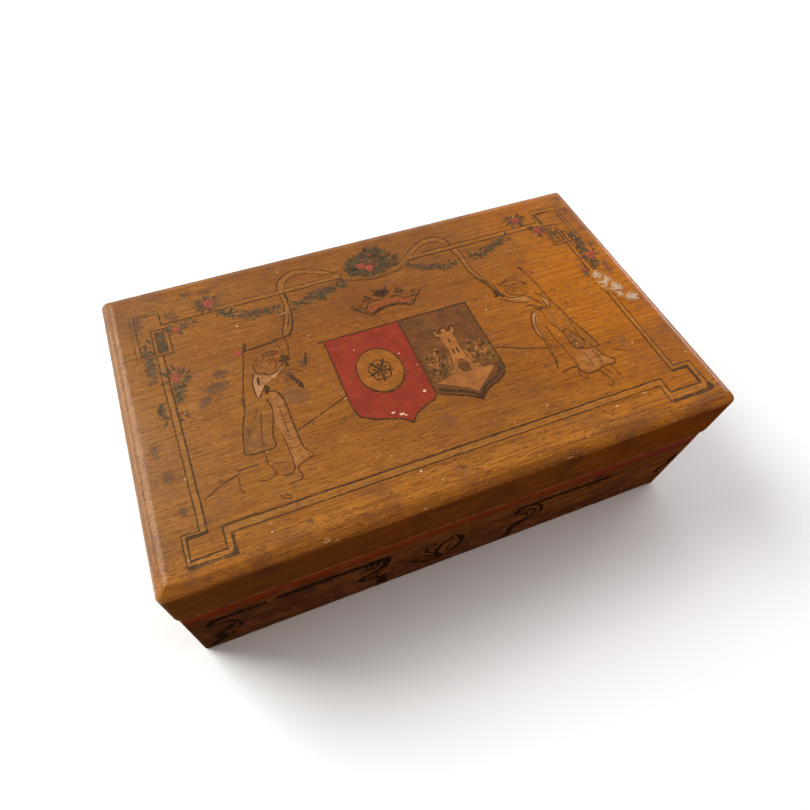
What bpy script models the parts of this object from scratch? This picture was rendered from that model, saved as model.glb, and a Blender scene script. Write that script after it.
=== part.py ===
"""A flat varnished wooden box whose hinged lid lets a small spring figure rise out of it.

Metres, +Z up, -Y is the front. The origin is under the middle of the whole object, knuckles of
the hinges included, on the surface that it stands on. The lid is shut and the figure is pressed
down under it. The lid turns about HINGE_AXIS; the figure slides straight up as the lid opens.
"""

import math

import bmesh
import bpy
from mathutils import Matrix, Vector

# Driving dimensions
LID_WIDTH = 0.220
LID_DEPTH = 0.131
TOTAL_HEIGHT = 0.075
BASE_HEIGHT = 0.0496
LID_BOTTOM = 0.0500
OVERHANG = 0.0008  # the lid stands out past the base by this much all round
BASE_WALL = 0.0070
FLOOR_THICKNESS = 0.0050
TOP_PANEL_THICKNESS = 0.0042
GAP = 0.0003  # between pieces that touch
LIP_THICKNESS = 0.0025
LIP_RISE = 0.0035  # how far the lip stands up into the lid

# Hinges
KNUCKLE_RADIUS = 0.0019
PIN_RADIUS = 0.00095
PIN_BORE_RADIUS = 0.00105
LEAF_WIDTH = 0.0220
LEAF_HEIGHT = 0.0110
LID_LEAF_THICKNESS = 0.0009
BASE_LEAF_THICKNESS = 0.0013
HINGE_X = 0.0660
KNUCKLE_LENGTH = LEAF_WIDTH / 3 - GAP
KNUCKLE_CLEARANCE = KNUCKLE_RADIUS + GAP

# Catch inside the front
CATCH_HALF_WIDTH = 0.0060
CATCH_STRIP_THICKNESS = 0.0004
CATCH_PLATE_THICKNESS = 0.0005
CATCH_PLATE_HALF_WIDTH = 0.0080
CATCH_PLATE_HEIGHT = 0.0090
CATCH_CLEARANCE = 0.00035  # between the strip's bow and the plate
CATCH_FOOT_Z = 0.0380
CATCH_TACK_X = 0.0035
CATCH_TACK_Z = 0.0420
CATCH_PLATE_TACK_RISE = 0.0078

# Screws and tacks: radius of the head, radius of the shank, length
HINGE_SCREW = (0.0016, 0.0008, 0.0066)
BASE_PLATE_SCREW = (0.0024, 0.0012, 0.0078)
CATCH_TACK = (0.0013, 0.0006, 0.0028)
CATCH_PLATE_TACK = (0.0011, 0.0006, 0.0040)
BORE_SPARE = 0.0006  # how much deeper than the shank a bore goes
BORE_START = 0.0020  # how far above the head the bore's cutter starts

# Places that follow from those
KNUCKLE_PROUD = GAP + 2 * KNUCKLE_RADIUS
FRONT_Y = -(LID_DEPTH + KNUCKLE_PROUD) / 2
BACK_Y = FRONT_Y + LID_DEPTH
MIDDLE_Y = (FRONT_Y + BACK_Y) / 2
LID_X = LID_WIDTH / 2
BASE_X = LID_X - OVERHANG
BASE_FRONT_Y = FRONT_Y + OVERHANG
BASE_BACK_Y = BACK_Y - OVERHANG
LID_WALL = BASE_WALL + OVERHANG
INNER_X = BASE_X - BASE_WALL
INNER_FRONT_Y = BASE_FRONT_Y + BASE_WALL
INNER_BACK_Y = BASE_BACK_Y - BASE_WALL
LIP_X = INNER_X - GAP
LIP_FRONT_Y = INNER_FRONT_Y + GAP
LIP_BACK_Y = INNER_BACK_Y - GAP
LIP_BOTTOM = FLOOR_THICKNESS + GAP
LIP_TOP = BASE_HEIGHT + LIP_RISE
PANEL_BOTTOM = TOTAL_HEIGHT - TOP_PANEL_THICKNESS
RAIL_TOP = PANEL_BOTTOM - GAP
HINGE_AXIS = Vector((0, BACK_Y + KNUCKLE_CLEARANCE, (BASE_HEIGHT + LID_BOTTOM) / 2))

# Inside
PARTITION_X = 0.0470
PARTITION_THICKNESS = 0.0050
LINING_THICKNESS = 0.0006

# Spring figure, on a vertical axis in the middle of the box
PLATE_SIDE = 0.0700
PLATE_THICKNESS = 0.0040
PLATE_SCREW_INSET = 0.0035  # from the plate's corner, along each side
WIRE_RADIUS = 0.0008
SPRING_TURNS = 6.5
SPRING_FOOT_RADIUS = 0.0290
SPRING_HEAD_RADIUS = 0.0165
SPRING_HEIGHT = 0.0117
CAP_RADIUS = 0.0215
CAP_THICKNESS = 0.0030
GOWN_FOOT_RADIUS = 0.0345
GOWN_NECK_RADIUS = 0.0255
GOWN_THICKNESS = 0.0030
GOWN_FOOT_RISE = 0.0040  # height of the straight hem, outside and inside
GOWN_INNER_RISE = 0.0030
TORSO_RADIUS = 0.0240
TORSO_HEIGHT = 0.0095
TORSO_FLATTENING = 0.72
SHOULDER_RADIUS = 0.0060
ARM_RISE = 0.0050  # from the torso's underside
ARM_SHOULDER_GAP = 0.0010
ELBOW_OUT = 0.0155  # from the torso's side
ELBOW_BACK = 0.0010
WRIST_OUT = 0.0115
WRIST_FORWARD = 0.0150
ARM_RADIUS = 0.0042
WRIST_RADIUS = 0.0030
HAND_RADIUS = 0.0042
HAND_REACH = 0.0048  # from the wrist to the middle of the hand
NECK_RADIUS = 0.0040
NECK_SOCKET_RADIUS = 0.0044
RUFF_RADIUS = 0.0165
RUFF_THICKNESS = 0.0024
RUFF_SCALLOP = 0.0010
HEAD_RADIUS = 0.0140
NOSE_RADIUS = 0.0020
NOSE_DROP = 0.0005
HAT_THICKNESS = 0.0010
HAT_BRIM_LATITUDE = 18
HORN_ROOT_RADIUS = 0.0042
HORN_TIP_RADIUS = 0.0012
HORN_TIP_X = 0.0285
HORN_TIP_Z = 0.0040  # above the middle of the head
BELL_X = 0.0286
BELL_RADIUS = 0.0030

# Colours of the toy's cloth, and its paint with the paint's roughness
RED = (0.45, 0.05, 0.06)
GREEN = (0.10, 0.22, 0.16)
SKIN = ((0.72, 0.50, 0.36), 0.45)

PLATE_TOP = FLOOR_THICKNESS + GAP + PLATE_THICKNESS
SPRING_BOTTOM = PLATE_TOP + GAP
CAP_BOTTOM = SPRING_BOTTOM + SPRING_HEIGHT + GAP
CAP_TOP = CAP_BOTTOM + CAP_THICKNESS
TORSO_BOTTOM = CAP_TOP + GAP
TORSO_TOP = TORSO_BOTTOM + TORSO_HEIGHT
RUFF_BOTTOM = TORSO_TOP + GAP
RUFF_TOP = RUFF_BOTTOM + RUFF_THICKNESS
HEAD_Z = RUFF_TOP + GAP + HEAD_RADIUS
NECK_TOP = HEAD_Z - HEAD_RADIUS * 0.73


def clear_scene():
    for obj in list(bpy.data.objects):
        bpy.data.objects.remove(obj)


def principled(name, colour, roughness, metallic=0.0):
    made = bpy.data.materials.new(name)
    made.use_nodes = True
    shader = made.node_tree.nodes["Principled BSDF"]
    shader.inputs["Base Color"].default_value = (*colour, 1.0)
    shader.inputs["Roughness"].default_value = roughness
    shader.inputs["Metallic"].default_value = metallic
    made.diffuse_color = (*colour, 1.0)
    return made


def add_object(name, data, colour, location=(0, 0, 0)):
    """Links an object with a material of its own."""
    obj = bpy.data.objects.new(name, data)
    obj.location = location
    data.materials.append(principled(name + "_finish", *colour))
    bpy.context.scene.collection.objects.link(obj)
    return obj


def mesh_object(name, bm, colour, location=(0, 0, 0), smooth_over=None):
    mesh = bpy.data.meshes.new(name)
    bmesh.ops.recalc_face_normals(bm, faces=bm.faces)
    bm.to_mesh(mesh)
    bm.free()
    if smooth_over is not None:
        mesh.shade_smooth()
        mesh.set_sharp_from_angle(angle=math.radians(smooth_over))
    return add_object(name, mesh, colour, location)


def box_mesh(low, high):
    """A plain box between two corners."""
    low = Vector(low)
    high = Vector(high)
    size = high - low
    place = Matrix.Translation((low + high) / 2) @ Matrix.Diagonal((*size, 1))
    bm = bmesh.new()
    bmesh.ops.create_cube(bm, size=1, matrix=place)
    return bm


def round_edges(bm, chosen, width, segments):
    edges = [edge for edge in bm.edges if chosen(edge)]
    bmesh.ops.bevel(bm, geom=edges, offset=width, segments=segments, profile=0.5, affect="EDGES")


def is_vertical(edge):
    run = edge.verts[0].co - edge.verts[1].co
    return abs(run.z) > 0.9 * run.length


def board(name, low, high, colour, edge=0.0005):
    """A board with its arrises taken off."""
    obj = mesh_object(name, box_mesh(low, high), colour)
    arris = obj.modifiers.new("Arris", "BEVEL")
    arris.width = edge
    arris.segments = 1
    return obj


def end_board(name, low, high, colour, corner, front):
    """A full-width board at the front or the back, with its outer vertical corners rounded."""
    outer_y = low[1] if front else high[1]
    bm = box_mesh(low, high)

    def at_corner(edge):
        return is_vertical(edge) and all(abs(v.co.y - outer_y) < GAP for v in edge.verts)

    round_edges(bm, at_corner, corner, 4)
    return mesh_object(name, bm, colour, smooth_over=30)


def turned(name, profile, colour, location, steps, closed=False):
    """A turned piece about its own Z. The profile is (radius, height) from the top down the outside."""
    bm = bmesh.new()
    points = [bm.verts.new((radius, 0, height)) for radius, height in profile]
    for upper, lower in zip(points, points[1:]):
        bm.edges.new((upper, lower))
    if closed:
        bm.edges.new((points[-1], points[0]))
    mesh = bpy.data.meshes.new(name)
    bm.to_mesh(mesh)
    bm.free()
    obj = add_object(name, mesh, colour, location)
    lathe = obj.modifiers.new("Lathe", "SCREW")
    lathe.steps = steps
    lathe.render_steps = steps
    lathe.use_merge_vertices = True
    lathe.merge_threshold = 0.00001
    lathe.use_smooth_shade = True
    return obj


def arc(centre_radius, centre_height, radius, start, end, steps):
    """Points of a turned profile along an arc, angles in degrees up from the outward direction."""
    found = []
    for step in range(steps + 1):
        angle = math.radians(start + (end - start) * step / steps)
        found.append(
            (centre_radius + radius * math.cos(angle), centre_height + radius * math.sin(angle))
        )
    return found


def cutter(name, bm):
    mesh = bpy.data.meshes.new(name)
    bmesh.ops.recalc_face_normals(bm, faces=bm.faces)
    bm.to_mesh(mesh)
    bm.free()
    obj = bpy.data.objects.new(name, mesh)
    obj.hide_render = True
    obj.display_type = "WIRE"
    bpy.context.scene.collection.objects.link(obj)
    return obj


def combine(target, other, operation):
    step = target.modifiers.new(other.name, "BOOLEAN")
    step.operation = operation
    step.object = other


def rod_mesh(start, end, radius, sides=16):
    """A round bar between two points."""
    start = Vector(start)
    end = Vector(end)
    run = end - start
    place = Matrix.Translation((start + end) / 2) @ run.to_track_quat("Z", "Y").to_matrix().to_4x4()
    bm = bmesh.new()
    bmesh.ops.create_cone(
        bm,
        cap_ends=True,
        segments=sides,
        radius1=radius,
        radius2=radius,
        depth=run.length,
        matrix=place,
    )
    return bm


def drill(target, start, end, radius, sides=16):
    name = f"{target.name}_drill_{len(target.modifiers)}"
    combine(target, cutter(name, rod_mesh(start, end, radius, sides)), "DIFFERENCE")


def tube_mesh(centres, radii, sides):
    """A round tube through the centres, each ring square to the way it runs, with its ends closed."""
    bm = bmesh.new()
    rings = []
    for index, centre in enumerate(centres):
        before = centres[max(index - 1, 0)]
        after = centres[min(index + 1, len(centres) - 1)]
        turn = (after - before).to_track_quat("Z", "Y")
        ring = []
        for side in range(sides):
            angle = math.tau * side / sides
            around = Vector((math.cos(angle), math.sin(angle), 0)) * radii[index]
            ring.append(bm.verts.new(centre + turn @ around))
        rings.append(ring)
    for ring, following in zip(rings, rings[1:]):
        for side in range(sides):
            other = (side + 1) % sides
            bm.faces.new((ring[side], ring[other], following[other], following[side]))
    bm.faces.new(rings[0])
    bm.faces.new(rings[-1])
    return bm


def smooth_route(corners, steps):
    """Points of the Bezier curve that those corner points pull."""
    found = []
    for step in range(steps + 1):
        level = [Vector(corner) for corner in corners]
        while len(level) > 1:
            level = [a.lerp(b, step / steps) for a, b in zip(level, level[1:])]
        found.append(level[0])
    return found


def varnished():
    return ((0.42, 0.17, 0.045), 0.35)


def plain_wood():
    return ((0.55, 0.36, 0.18), 0.60)


def brass():
    return ((0.60, 0.43, 0.16), 0.35, 1.0)


def steel():
    return ((0.42, 0.42, 0.43), 0.35, 1.0)


def cloth(red, green, blue):
    return ((red, green, blue), 0.90)


def make_base():
    board(
        "base_bottom_board",
        (-INNER_X + GAP, INNER_FRONT_Y + GAP, 0),
        (INNER_X - GAP, INNER_BACK_Y - GAP, FLOOR_THICKNESS),
        plain_wood(),
    )
    end_board(
        "base_front_wall",
        (-BASE_X, BASE_FRONT_Y, 0),
        (BASE_X, INNER_FRONT_Y, BASE_HEIGHT),
        varnished(),
        corner=0.0022,
        front=True,
    )
    back = end_board(
        "base_back_wall",
        (-BASE_X, INNER_BACK_Y, 0),
        (BASE_X, BASE_BACK_Y, BASE_HEIGHT),
        varnished(),
        corner=0.0022,
        front=False,
    )
    for side, sign in (("left", -1), ("right", 1)):
        near, far = sorted((sign * INNER_X, sign * BASE_X))
        board(
            f"base_{side}_wall",
            (near, INNER_FRONT_Y + GAP, 0),
            (far, INNER_BACK_Y - GAP, BASE_HEIGHT),
            varnished(),
        )
    return back


def make_lips():
    """The lining strips that stand up past the rim and steady the shut lid."""
    for name, y in (("front", LIP_FRONT_Y), ("back", LIP_BACK_Y - LIP_THICKNESS)):
        board(
            f"base_{name}_lip",
            (-LIP_X, y, LIP_BOTTOM),
            (LIP_X, y + LIP_THICKNESS, LIP_TOP),
            plain_wood(),
            edge=0.0004,
        )
    for side, sign in (("left", -1), ("right", 1)):
        near, far = sorted((sign * LIP_X, sign * (LIP_X - LIP_THICKNESS)))
        board(
            f"base_{side}_lip",
            (near, LIP_FRONT_Y + LIP_THICKNESS + GAP, LIP_BOTTOM),
            (far, LIP_BACK_Y - LIP_THICKNESS - GAP, LIP_TOP),
            plain_wood(),
            edge=0.0004,
        )


def make_partitions():
    """Two boards that keep the spring figure upright in a well of its own."""
    for side, sign in (("left", -1), ("right", 1)):
        x = sign * PARTITION_X
        board(
            f"well_{side}_partition",
            (x - PARTITION_THICKNESS / 2, LIP_FRONT_Y + LIP_THICKNESS + GAP, LIP_BOTTOM),
            (x + PARTITION_THICKNESS / 2, LIP_BACK_Y - LIP_THICKNESS - GAP, BASE_HEIGHT),
            plain_wood(),
        )


def make_lid():
    """The lid as a panel on four rails. The panel's upper edge is rounded over."""
    panel = box_mesh((-LID_X, FRONT_Y, PANEL_BOTTOM), (LID_X, BACK_Y, TOTAL_HEIGHT))
    round_edges(panel, is_vertical, 0.0028, 4)

    def on_top(edge):
        return all(abs(v.co.z - TOTAL_HEIGHT) < GAP for v in edge.verts)

    round_edges(panel, on_top, 0.0026, 4)
    mesh_object("lid_top_panel", panel, varnished(), smooth_over=40)
    end_board(
        "lid_front_rail",
        (-LID_X, FRONT_Y, LID_BOTTOM),
        (LID_X, FRONT_Y + LID_WALL, RAIL_TOP),
        varnished(),
        corner=0.0028,
        front=True,
    )
    back = end_board(
        "lid_back_rail",
        (-LID_X, BACK_Y - LID_WALL, LID_BOTTOM),
        (LID_X, BACK_Y, RAIL_TOP),
        varnished(),
        corner=0.0028,
        front=False,
    )
    for side, sign in (("left", -1), ("right", 1)):
        near, far = sorted((sign * LID_X, sign * INNER_X))
        board(
            f"lid_{side}_rail",
            (near, FRONT_Y + LID_WALL + GAP, LID_BOTTOM),
            (far, BACK_Y - LID_WALL - GAP, RAIL_TOP),
            varnished(),
        )
    lining_top = PANEL_BOTTOM - GAP
    board(
        "lid_lining",
        (-INNER_X + GAP, INNER_FRONT_Y + GAP, lining_top - LINING_THICKNESS),
        (INNER_X - GAP, INNER_BACK_Y - GAP, lining_top),
        cloth(0.35, 0.26, 0.18),
        edge=0.0001,
    )
    return back


def make_leaf(name, centre_x, knuckle_xs, plate, notches):
    """A hinge leaf: a plate, its knuckles, notches for the other leaf's, and the pin's bore."""
    low, high = plate
    leaf = mesh_object(name, box_mesh(low, high), brass())
    for number, x in enumerate(knuckle_xs):
        half = Vector((KNUCKLE_LENGTH / 2, 0, 0))
        middle = HINGE_AXIS + Vector((x, 0, 0))
        barrel = rod_mesh(middle - half, middle + half, KNUCKLE_RADIUS, 24)
        combine(leaf, cutter(f"{name}_knuckle_{number}", barrel), "UNION")
    for number, (notch_low, notch_high) in enumerate(notches):
        combine(leaf, cutter(f"{name}_notch_{number}", box_mesh(notch_low, notch_high)), "DIFFERENCE")
    reach = Vector((LEAF_WIDTH, 0, 0))
    middle = HINGE_AXIS + Vector((centre_x, 0, 0))
    drill(leaf, middle - reach, middle + reach, PIN_BORE_RADIUS, 24)
    return leaf


def fastener(name, head, direction, colour, head_radius, shank_radius, length):
    """A round-headed screw or tack. head is the middle of the underside of its head."""
    dome = 0.55 * head_radius
    profile = [(0, dome), (0.45 * head_radius, 0.92 * dome), (0.8 * head_radius, 0.6 * dome)]
    profile += [(head_radius, 0), (shank_radius, 0), (shank_radius, 0.25 * shank_radius - length)]
    profile += [(0, -length)]
    obj = turned(name, profile, colour, head, steps=16)
    obj.rotation_euler = Vector(direction).to_track_quat("Z", "Y").to_euler()
    return obj


def screw_in(name, head, direction, size, targets):
    """A screw or tack together with its bore through each of the targets."""
    head_radius, shank_radius, length = size
    fastener(name, head, direction, brass(), head_radius, shank_radius, length)
    out = Vector(direction)
    end = head - out * (length + BORE_SPARE)
    for target in targets:
        drill(target, end, head + out * BORE_START, shank_radius + GAP)


def make_hinge(side, sign, base_wall, lid_wall):
    """A butt hinge: the base leaf has the two outer knuckles, the lid leaf the middle one."""
    x = sign * HINGE_X
    spacing = LEAF_WIDTH / 3
    half = LEAF_WIDTH / 2
    axis_z = HINGE_AXIS.z
    base_y = BASE_BACK_Y + GAP
    lid_y = BACK_Y + GAP
    base_plate = (
        (x - half, base_y, axis_z - LEAF_HEIGHT),
        (x + half, base_y + BASE_LEAF_THICKNESS, BASE_HEIGHT),
    )
    lid_plate = (
        (x - half, lid_y, LID_BOTTOM),
        (x + half, lid_y + LID_LEAF_THICKNESS, axis_z + LEAF_HEIGHT),
    )
    wide = (spacing + GAP) / 2
    middle_notch = (
        (x - wide, BASE_BACK_Y, axis_z - KNUCKLE_CLEARANCE),
        (x + wide, BACK_Y + KNUCKLE_PROUD, axis_z + LEAF_HEIGHT),
    )
    outer_notches = []
    for way in (-1, 1):
        near, far = sorted((x + way * (spacing - GAP) / 2, x + way * (half + GAP)))
        outer_notches.append(
            (
                (near, BASE_BACK_Y, axis_z - LEAF_HEIGHT),
                (far, BACK_Y + KNUCKLE_PROUD, axis_z + KNUCKLE_CLEARANCE),
            )
        )
    base_leaf = make_leaf(
        f"hinge_{side}_base_leaf", x, (x - spacing, x + spacing), base_plate, [middle_notch]
    )
    lid_leaf = make_leaf(f"hinge_{side}_lid_leaf", x, (x,), lid_plate, outer_notches)
    pin = rod_mesh(
        HINGE_AXIS + Vector((x - half, 0, 0)), HINGE_AXIS + Vector((x + half, 0, 0)), PIN_RADIUS, 24
    )
    mesh_object(f"hinge_{side}_pin", pin, steel(), smooth_over=30)
    screw_rise = 0.62 * LEAF_HEIGHT
    places = (
        ("base", base_leaf, base_wall, base_y + BASE_LEAF_THICKNESS, axis_z - screw_rise),
        ("lid", lid_leaf, lid_wall, lid_y + LID_LEAF_THICKNESS, axis_z + screw_rise),
    )
    for half_name, leaf, wood, face_y, z in places:
        for number, screw_x in enumerate((x - spacing, x + spacing), start=1):
            head = Vector((screw_x, face_y + GAP, z))
            name = f"hinge_{side}_{half_name}_screw_{number}"
            screw_in(name, head, (0, 1, 0), HINGE_SCREW, (leaf, wood))


def make_catch():
    """A bowed brass spring on the front lip that grips a plate inside the lid's front rail."""
    half = CATCH_HALF_WIDTH
    lip_inner = LIP_FRONT_Y + LIP_THICKNESS + GAP
    plate_front = FRONT_Y + LID_WALL + GAP
    plate_back = plate_front + CATCH_PLATE_THICKNESS
    strip = CATCH_STRIP_THICKNESS
    bow_y = plate_back + CATCH_CLEARANCE
    over_lip = LIP_TOP + GAP
    # Middle line of the bent strip, from its foot up over the lip to its tip
    route = [
        Vector((0, lip_inner + strip / 2, CATCH_FOOT_Z)),
        Vector((0, lip_inner + strip / 2, over_lip)),
        Vector((0, bow_y + 0.0018, over_lip + 0.0011)),
        Vector((0, bow_y + 0.0006, over_lip + 0.0021)),
        Vector((0, bow_y + strip / 2, over_lip + 0.0035)),
        Vector((0, bow_y + 0.0006, over_lip + 0.0049)),
        Vector((0, bow_y + 0.0022, over_lip + 0.0066)),
    ]
    bm = bmesh.new()
    rows = []
    for index, point in enumerate(route):
        run = route[min(index + 1, len(route) - 1)] - route[max(index - 1, 0)]
        across = Vector((0, run.z, -run.y)).normalized() * (strip / 2)
        corners = ((-half, -1), (half, -1), (half, 1), (-half, 1))
        rows.append([bm.verts.new(point + Vector((x, 0, 0)) + across * way) for x, way in corners])
    for row, following in zip(rows, rows[1:]):
        for side in range(4):
            other = (side + 1) % 4
            bm.faces.new((row[side], row[other], following[other], following[side]))
    bm.faces.new(rows[0])
    bm.faces.new(rows[-1])
    spring = mesh_object("catch_spring", bm, brass())
    lip = bpy.data.objects["base_front_lip"]
    for number, x in enumerate((-CATCH_TACK_X, CATCH_TACK_X), start=1):
        head = Vector((x, lip_inner + strip + GAP, CATCH_TACK_Z))
        screw_in(f"catch_spring_tack_{number}", head, (0, 1, 0), CATCH_TACK, (spring, lip))
    plate = board(
        "lid_catch_plate",
        (-CATCH_PLATE_HALF_WIDTH, plate_front, over_lip),
        (CATCH_PLATE_HALF_WIDTH, plate_back, over_lip + CATCH_PLATE_HEIGHT),
        brass(),
        edge=0.0001,
    )
    rail = bpy.data.objects["lid_front_rail"]
    head = Vector((0, plate_back + GAP, over_lip + CATCH_PLATE_TACK_RISE))
    screw_in("lid_catch_plate_tack", head, (0, 1, 0), CATCH_PLATE_TACK, (plate, rail))


def make_base_plate():
    """The square foot of the spring, screwed to the floor of the well."""
    half = PLATE_SIDE / 2
    plate = board(
        "jack_base_plate",
        (-half, MIDDLE_Y - half, FLOOR_THICKNESS + GAP),
        (half, MIDDLE_Y + half, PLATE_TOP),
        plain_wood(),
    )
    floor = bpy.data.objects["base_bottom_board"]
    for number, sign in enumerate((-1, 1), start=1):
        reach = half - PLATE_SCREW_INSET
        head = Vector((sign * reach, MIDDLE_Y + sign * reach, PLATE_TOP + GAP))
        screw_in(f"jack_base_screw_{number}", head, (0, 0, 1), BASE_PLATE_SCREW, (plate, floor))


def make_spring():
    """A cone of steel wire whose turns nest into each other when it is pressed flat."""
    points_each_turn = 16
    count = int(SPRING_TURNS * points_each_turn)
    low = SPRING_BOTTOM + WIRE_RADIUS
    rise = SPRING_HEIGHT - 2 * WIRE_RADIUS
    curve = bpy.data.curves.new("jack_spring", "CURVE")
    curve.dimensions = "3D"
    curve.bevel_depth = WIRE_RADIUS
    curve.bevel_resolution = 1
    curve.use_fill_caps = True
    wire = curve.splines.new("POLY")
    wire.points.add(count)
    for index, point in enumerate(wire.points):
        along = index / count
        angle = math.tau * SPRING_TURNS * along
        radius = SPRING_FOOT_RADIUS + (SPRING_HEAD_RADIUS - SPRING_FOOT_RADIUS) * along
        point.co = (radius * math.cos(angle), radius * math.sin(angle), low + rise * along, 1)
    add_object("jack_spring", curve, steel(), (0, MIDDLE_Y, 0))


def make_gown():
    """The cloth sleeve round the spring, pressed down into a low ring."""
    top = CAP_TOP - GAP
    foot = SPRING_BOTTOM
    profile = [
        (GOWN_NECK_RADIUS, top),
        (GOWN_FOOT_RADIUS, foot + GOWN_FOOT_RISE),
        (GOWN_FOOT_RADIUS, foot),
        (GOWN_FOOT_RADIUS - GOWN_THICKNESS, foot),
        (GOWN_FOOT_RADIUS - GOWN_THICKNESS, foot + GOWN_INNER_RISE),
        (GOWN_NECK_RADIUS - GOWN_THICKNESS, top),
    ]
    turned("jack_gown", profile, cloth(*RED), (0, MIDDLE_Y, 0), steps=40, closed=True)


def make_torso():
    """The round board on the spring, the padded shoulders, the neck and the arms."""
    turned(
        "jack_cap_disc",
        [(0, CAP_TOP), (CAP_RADIUS, CAP_TOP), (CAP_RADIUS, CAP_BOTTOM), (0, CAP_BOTTOM)],
        plain_wood(),
        (0, MIDDLE_Y, 0),
        steps=36,
    )
    hole = (NECK_RADIUS + GAP) / TORSO_FLATTENING
    shoulder = SHOULDER_RADIUS
    profile = [(hole, TORSO_TOP)]
    profile += arc(TORSO_RADIUS - shoulder, TORSO_TOP - shoulder, shoulder, 90, 0, 5)
    profile += [(TORSO_RADIUS, TORSO_BOTTOM), (hole, TORSO_BOTTOM)]
    torso = turned("jack_torso", profile, cloth(*RED), (0, MIDDLE_Y, 0), steps=36, closed=True)
    torso.scale.y = TORSO_FLATTENING
    turned(
        "jack_neck_peg",
        [(0, NECK_TOP), (NECK_RADIUS, NECK_TOP), (NECK_RADIUS, TORSO_BOTTOM), (0, TORSO_BOTTOM)],
        plain_wood(),
        (0, MIDDLE_Y, 0),
        steps=20,
    )
    steps = 10
    for side, sign in (("left", -1), ("right", 1)):
        z = TORSO_BOTTOM + ARM_RISE
        start = (sign * (TORSO_RADIUS + GAP + ARM_SHOULDER_GAP), MIDDLE_Y, z)
        elbow = (sign * (TORSO_RADIUS + ELBOW_OUT), MIDDLE_Y + ELBOW_BACK, z)
        wrist = (sign * (TORSO_RADIUS + WRIST_OUT), MIDDLE_Y - WRIST_FORWARD, z)
        route = smooth_route((start, elbow, elbow, wrist), steps)
        taper = WRIST_RADIUS - ARM_RADIUS
        radii = [ARM_RADIUS + taper * index / steps for index in range(steps + 1)]
        arm = tube_mesh(route, radii, 12)
        mesh_object(f"jack_{side}_arm", arm, cloth(*GREEN), smooth_over=50)
        away = (route[-1] - route[-2]).normalized()
        bm = bmesh.new()
        place = Matrix.Translation(route[-1] + away * HAND_REACH)
        bmesh.ops.create_uvsphere(bm, u_segments=16, v_segments=10, radius=HAND_RADIUS, matrix=place)
        mesh_object(f"jack_{side}_hand", bm, SKIN, smooth_over=60)


def make_ruff():
    """The pleated collar: a flat ring with a scalloped rim."""
    pleats = 14
    points = pleats * 6
    bm = bmesh.new()
    loops = []
    for outer, z in ((False, RUFF_BOTTOM), (True, RUFF_BOTTOM), (True, RUFF_TOP), (False, RUFF_TOP)):
        loop = []
        for index in range(points):
            angle = math.tau * index / points
            rim = RUFF_RADIUS + RUFF_SCALLOP * math.cos(pleats * angle)
            radius = rim if outer else NECK_RADIUS + GAP
            loop.append(bm.verts.new((radius * math.cos(angle), radius * math.sin(angle), z)))
        loops.append(loop)
    for loop, following in zip(loops, loops[1:] + loops[:1]):
        for index in range(points):
            other = (index + 1) % points
            bm.faces.new((loop[index], loop[other], following[other], following[index]))
    mesh_object("jack_ruff", bm, cloth(0.80, 0.74, 0.60), (0, MIDDLE_Y, 0), smooth_over=40)


def make_head():
    """A turned wooden head with a socket for the neck, and a round nose."""
    mouth = math.degrees(math.asin(NECK_SOCKET_RADIUS / HEAD_RADIUS))
    profile = arc(0, 0, HEAD_RADIUS, 90, mouth - 90, 13)
    profile[0] = (0, HEAD_RADIUS)
    socket_top = NECK_TOP + GAP - HEAD_Z
    profile += [(NECK_SOCKET_RADIUS, socket_top), (0, socket_top)]
    turned("jack_head", profile, SKIN, (0, MIDDLE_Y, HEAD_Z), steps=24)
    bm = bmesh.new()
    bmesh.ops.create_uvsphere(bm, u_segments=14, v_segments=8, radius=NOSE_RADIUS)
    place = (0, MIDDLE_Y - HEAD_RADIUS - GAP - NOSE_RADIUS, HEAD_Z - NOSE_DROP)
    mesh_object("jack_nose", bm, ((0.60, 0.10, 0.07), 0.40), place, smooth_over=60)


def make_hat():
    """A cloth cap with two horns that fold down to the sides, each with a bell at its tip."""
    inner = HEAD_RADIUS + GAP
    outer = inner + HAT_THICKNESS
    profile = arc(0, 0, outer, 90, HAT_BRIM_LATITUDE, 6)
    profile[0] = (0, outer)
    profile += arc(0, 0, inner, HAT_BRIM_LATITUDE, 90, 6)
    profile[-1] = (0, inner)
    hat = turned("jack_hat", profile, cloth(*GREEN), (0, MIDDLE_Y, HEAD_Z), steps=22)
    steps = 8
    for side, sign in (("left", -1), ("right", 1)):
        root = (sign * 0.0085, 0, 0.0126)
        rise = (sign * 0.0205, 0, 0.0160)
        fold = (sign * 0.0275, 0, 0.0120)
        tip = (sign * HORN_TIP_X, 0, HORN_TIP_Z)
        route = smooth_route((root, rise, fold, tip), steps)
        taper = HORN_TIP_RADIUS - HORN_ROOT_RADIUS
        radii = [HORN_ROOT_RADIUS + taper * index / steps for index in range(steps + 1)]
        horn = cutter(f"jack_hat_{side}_horn", tube_mesh(route, radii, 10))
        horn.location = (0, MIDDLE_Y, HEAD_Z)
        combine(hat, horn, "UNION")
        bm = bmesh.new()
        bmesh.ops.create_uvsphere(bm, u_segments=16, v_segments=10, radius=BELL_RADIUS)
        place = (sign * BELL_X, MIDDLE_Y, HEAD_Z + HORN_TIP_Z - BELL_RADIUS - 2 * GAP)
        mesh_object(f"jack_{side}_bell", bm, brass(), place, smooth_over=60)
    bm = bmesh.new()
    bmesh.ops.create_uvsphere(bm, u_segments=22, v_segments=12, radius=inner)
    room = cutter("jack_hat_room_for_head", bm)
    room.location = (0, MIDDLE_Y, HEAD_Z)
    combine(hat, room, "DIFFERENCE")


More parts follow.
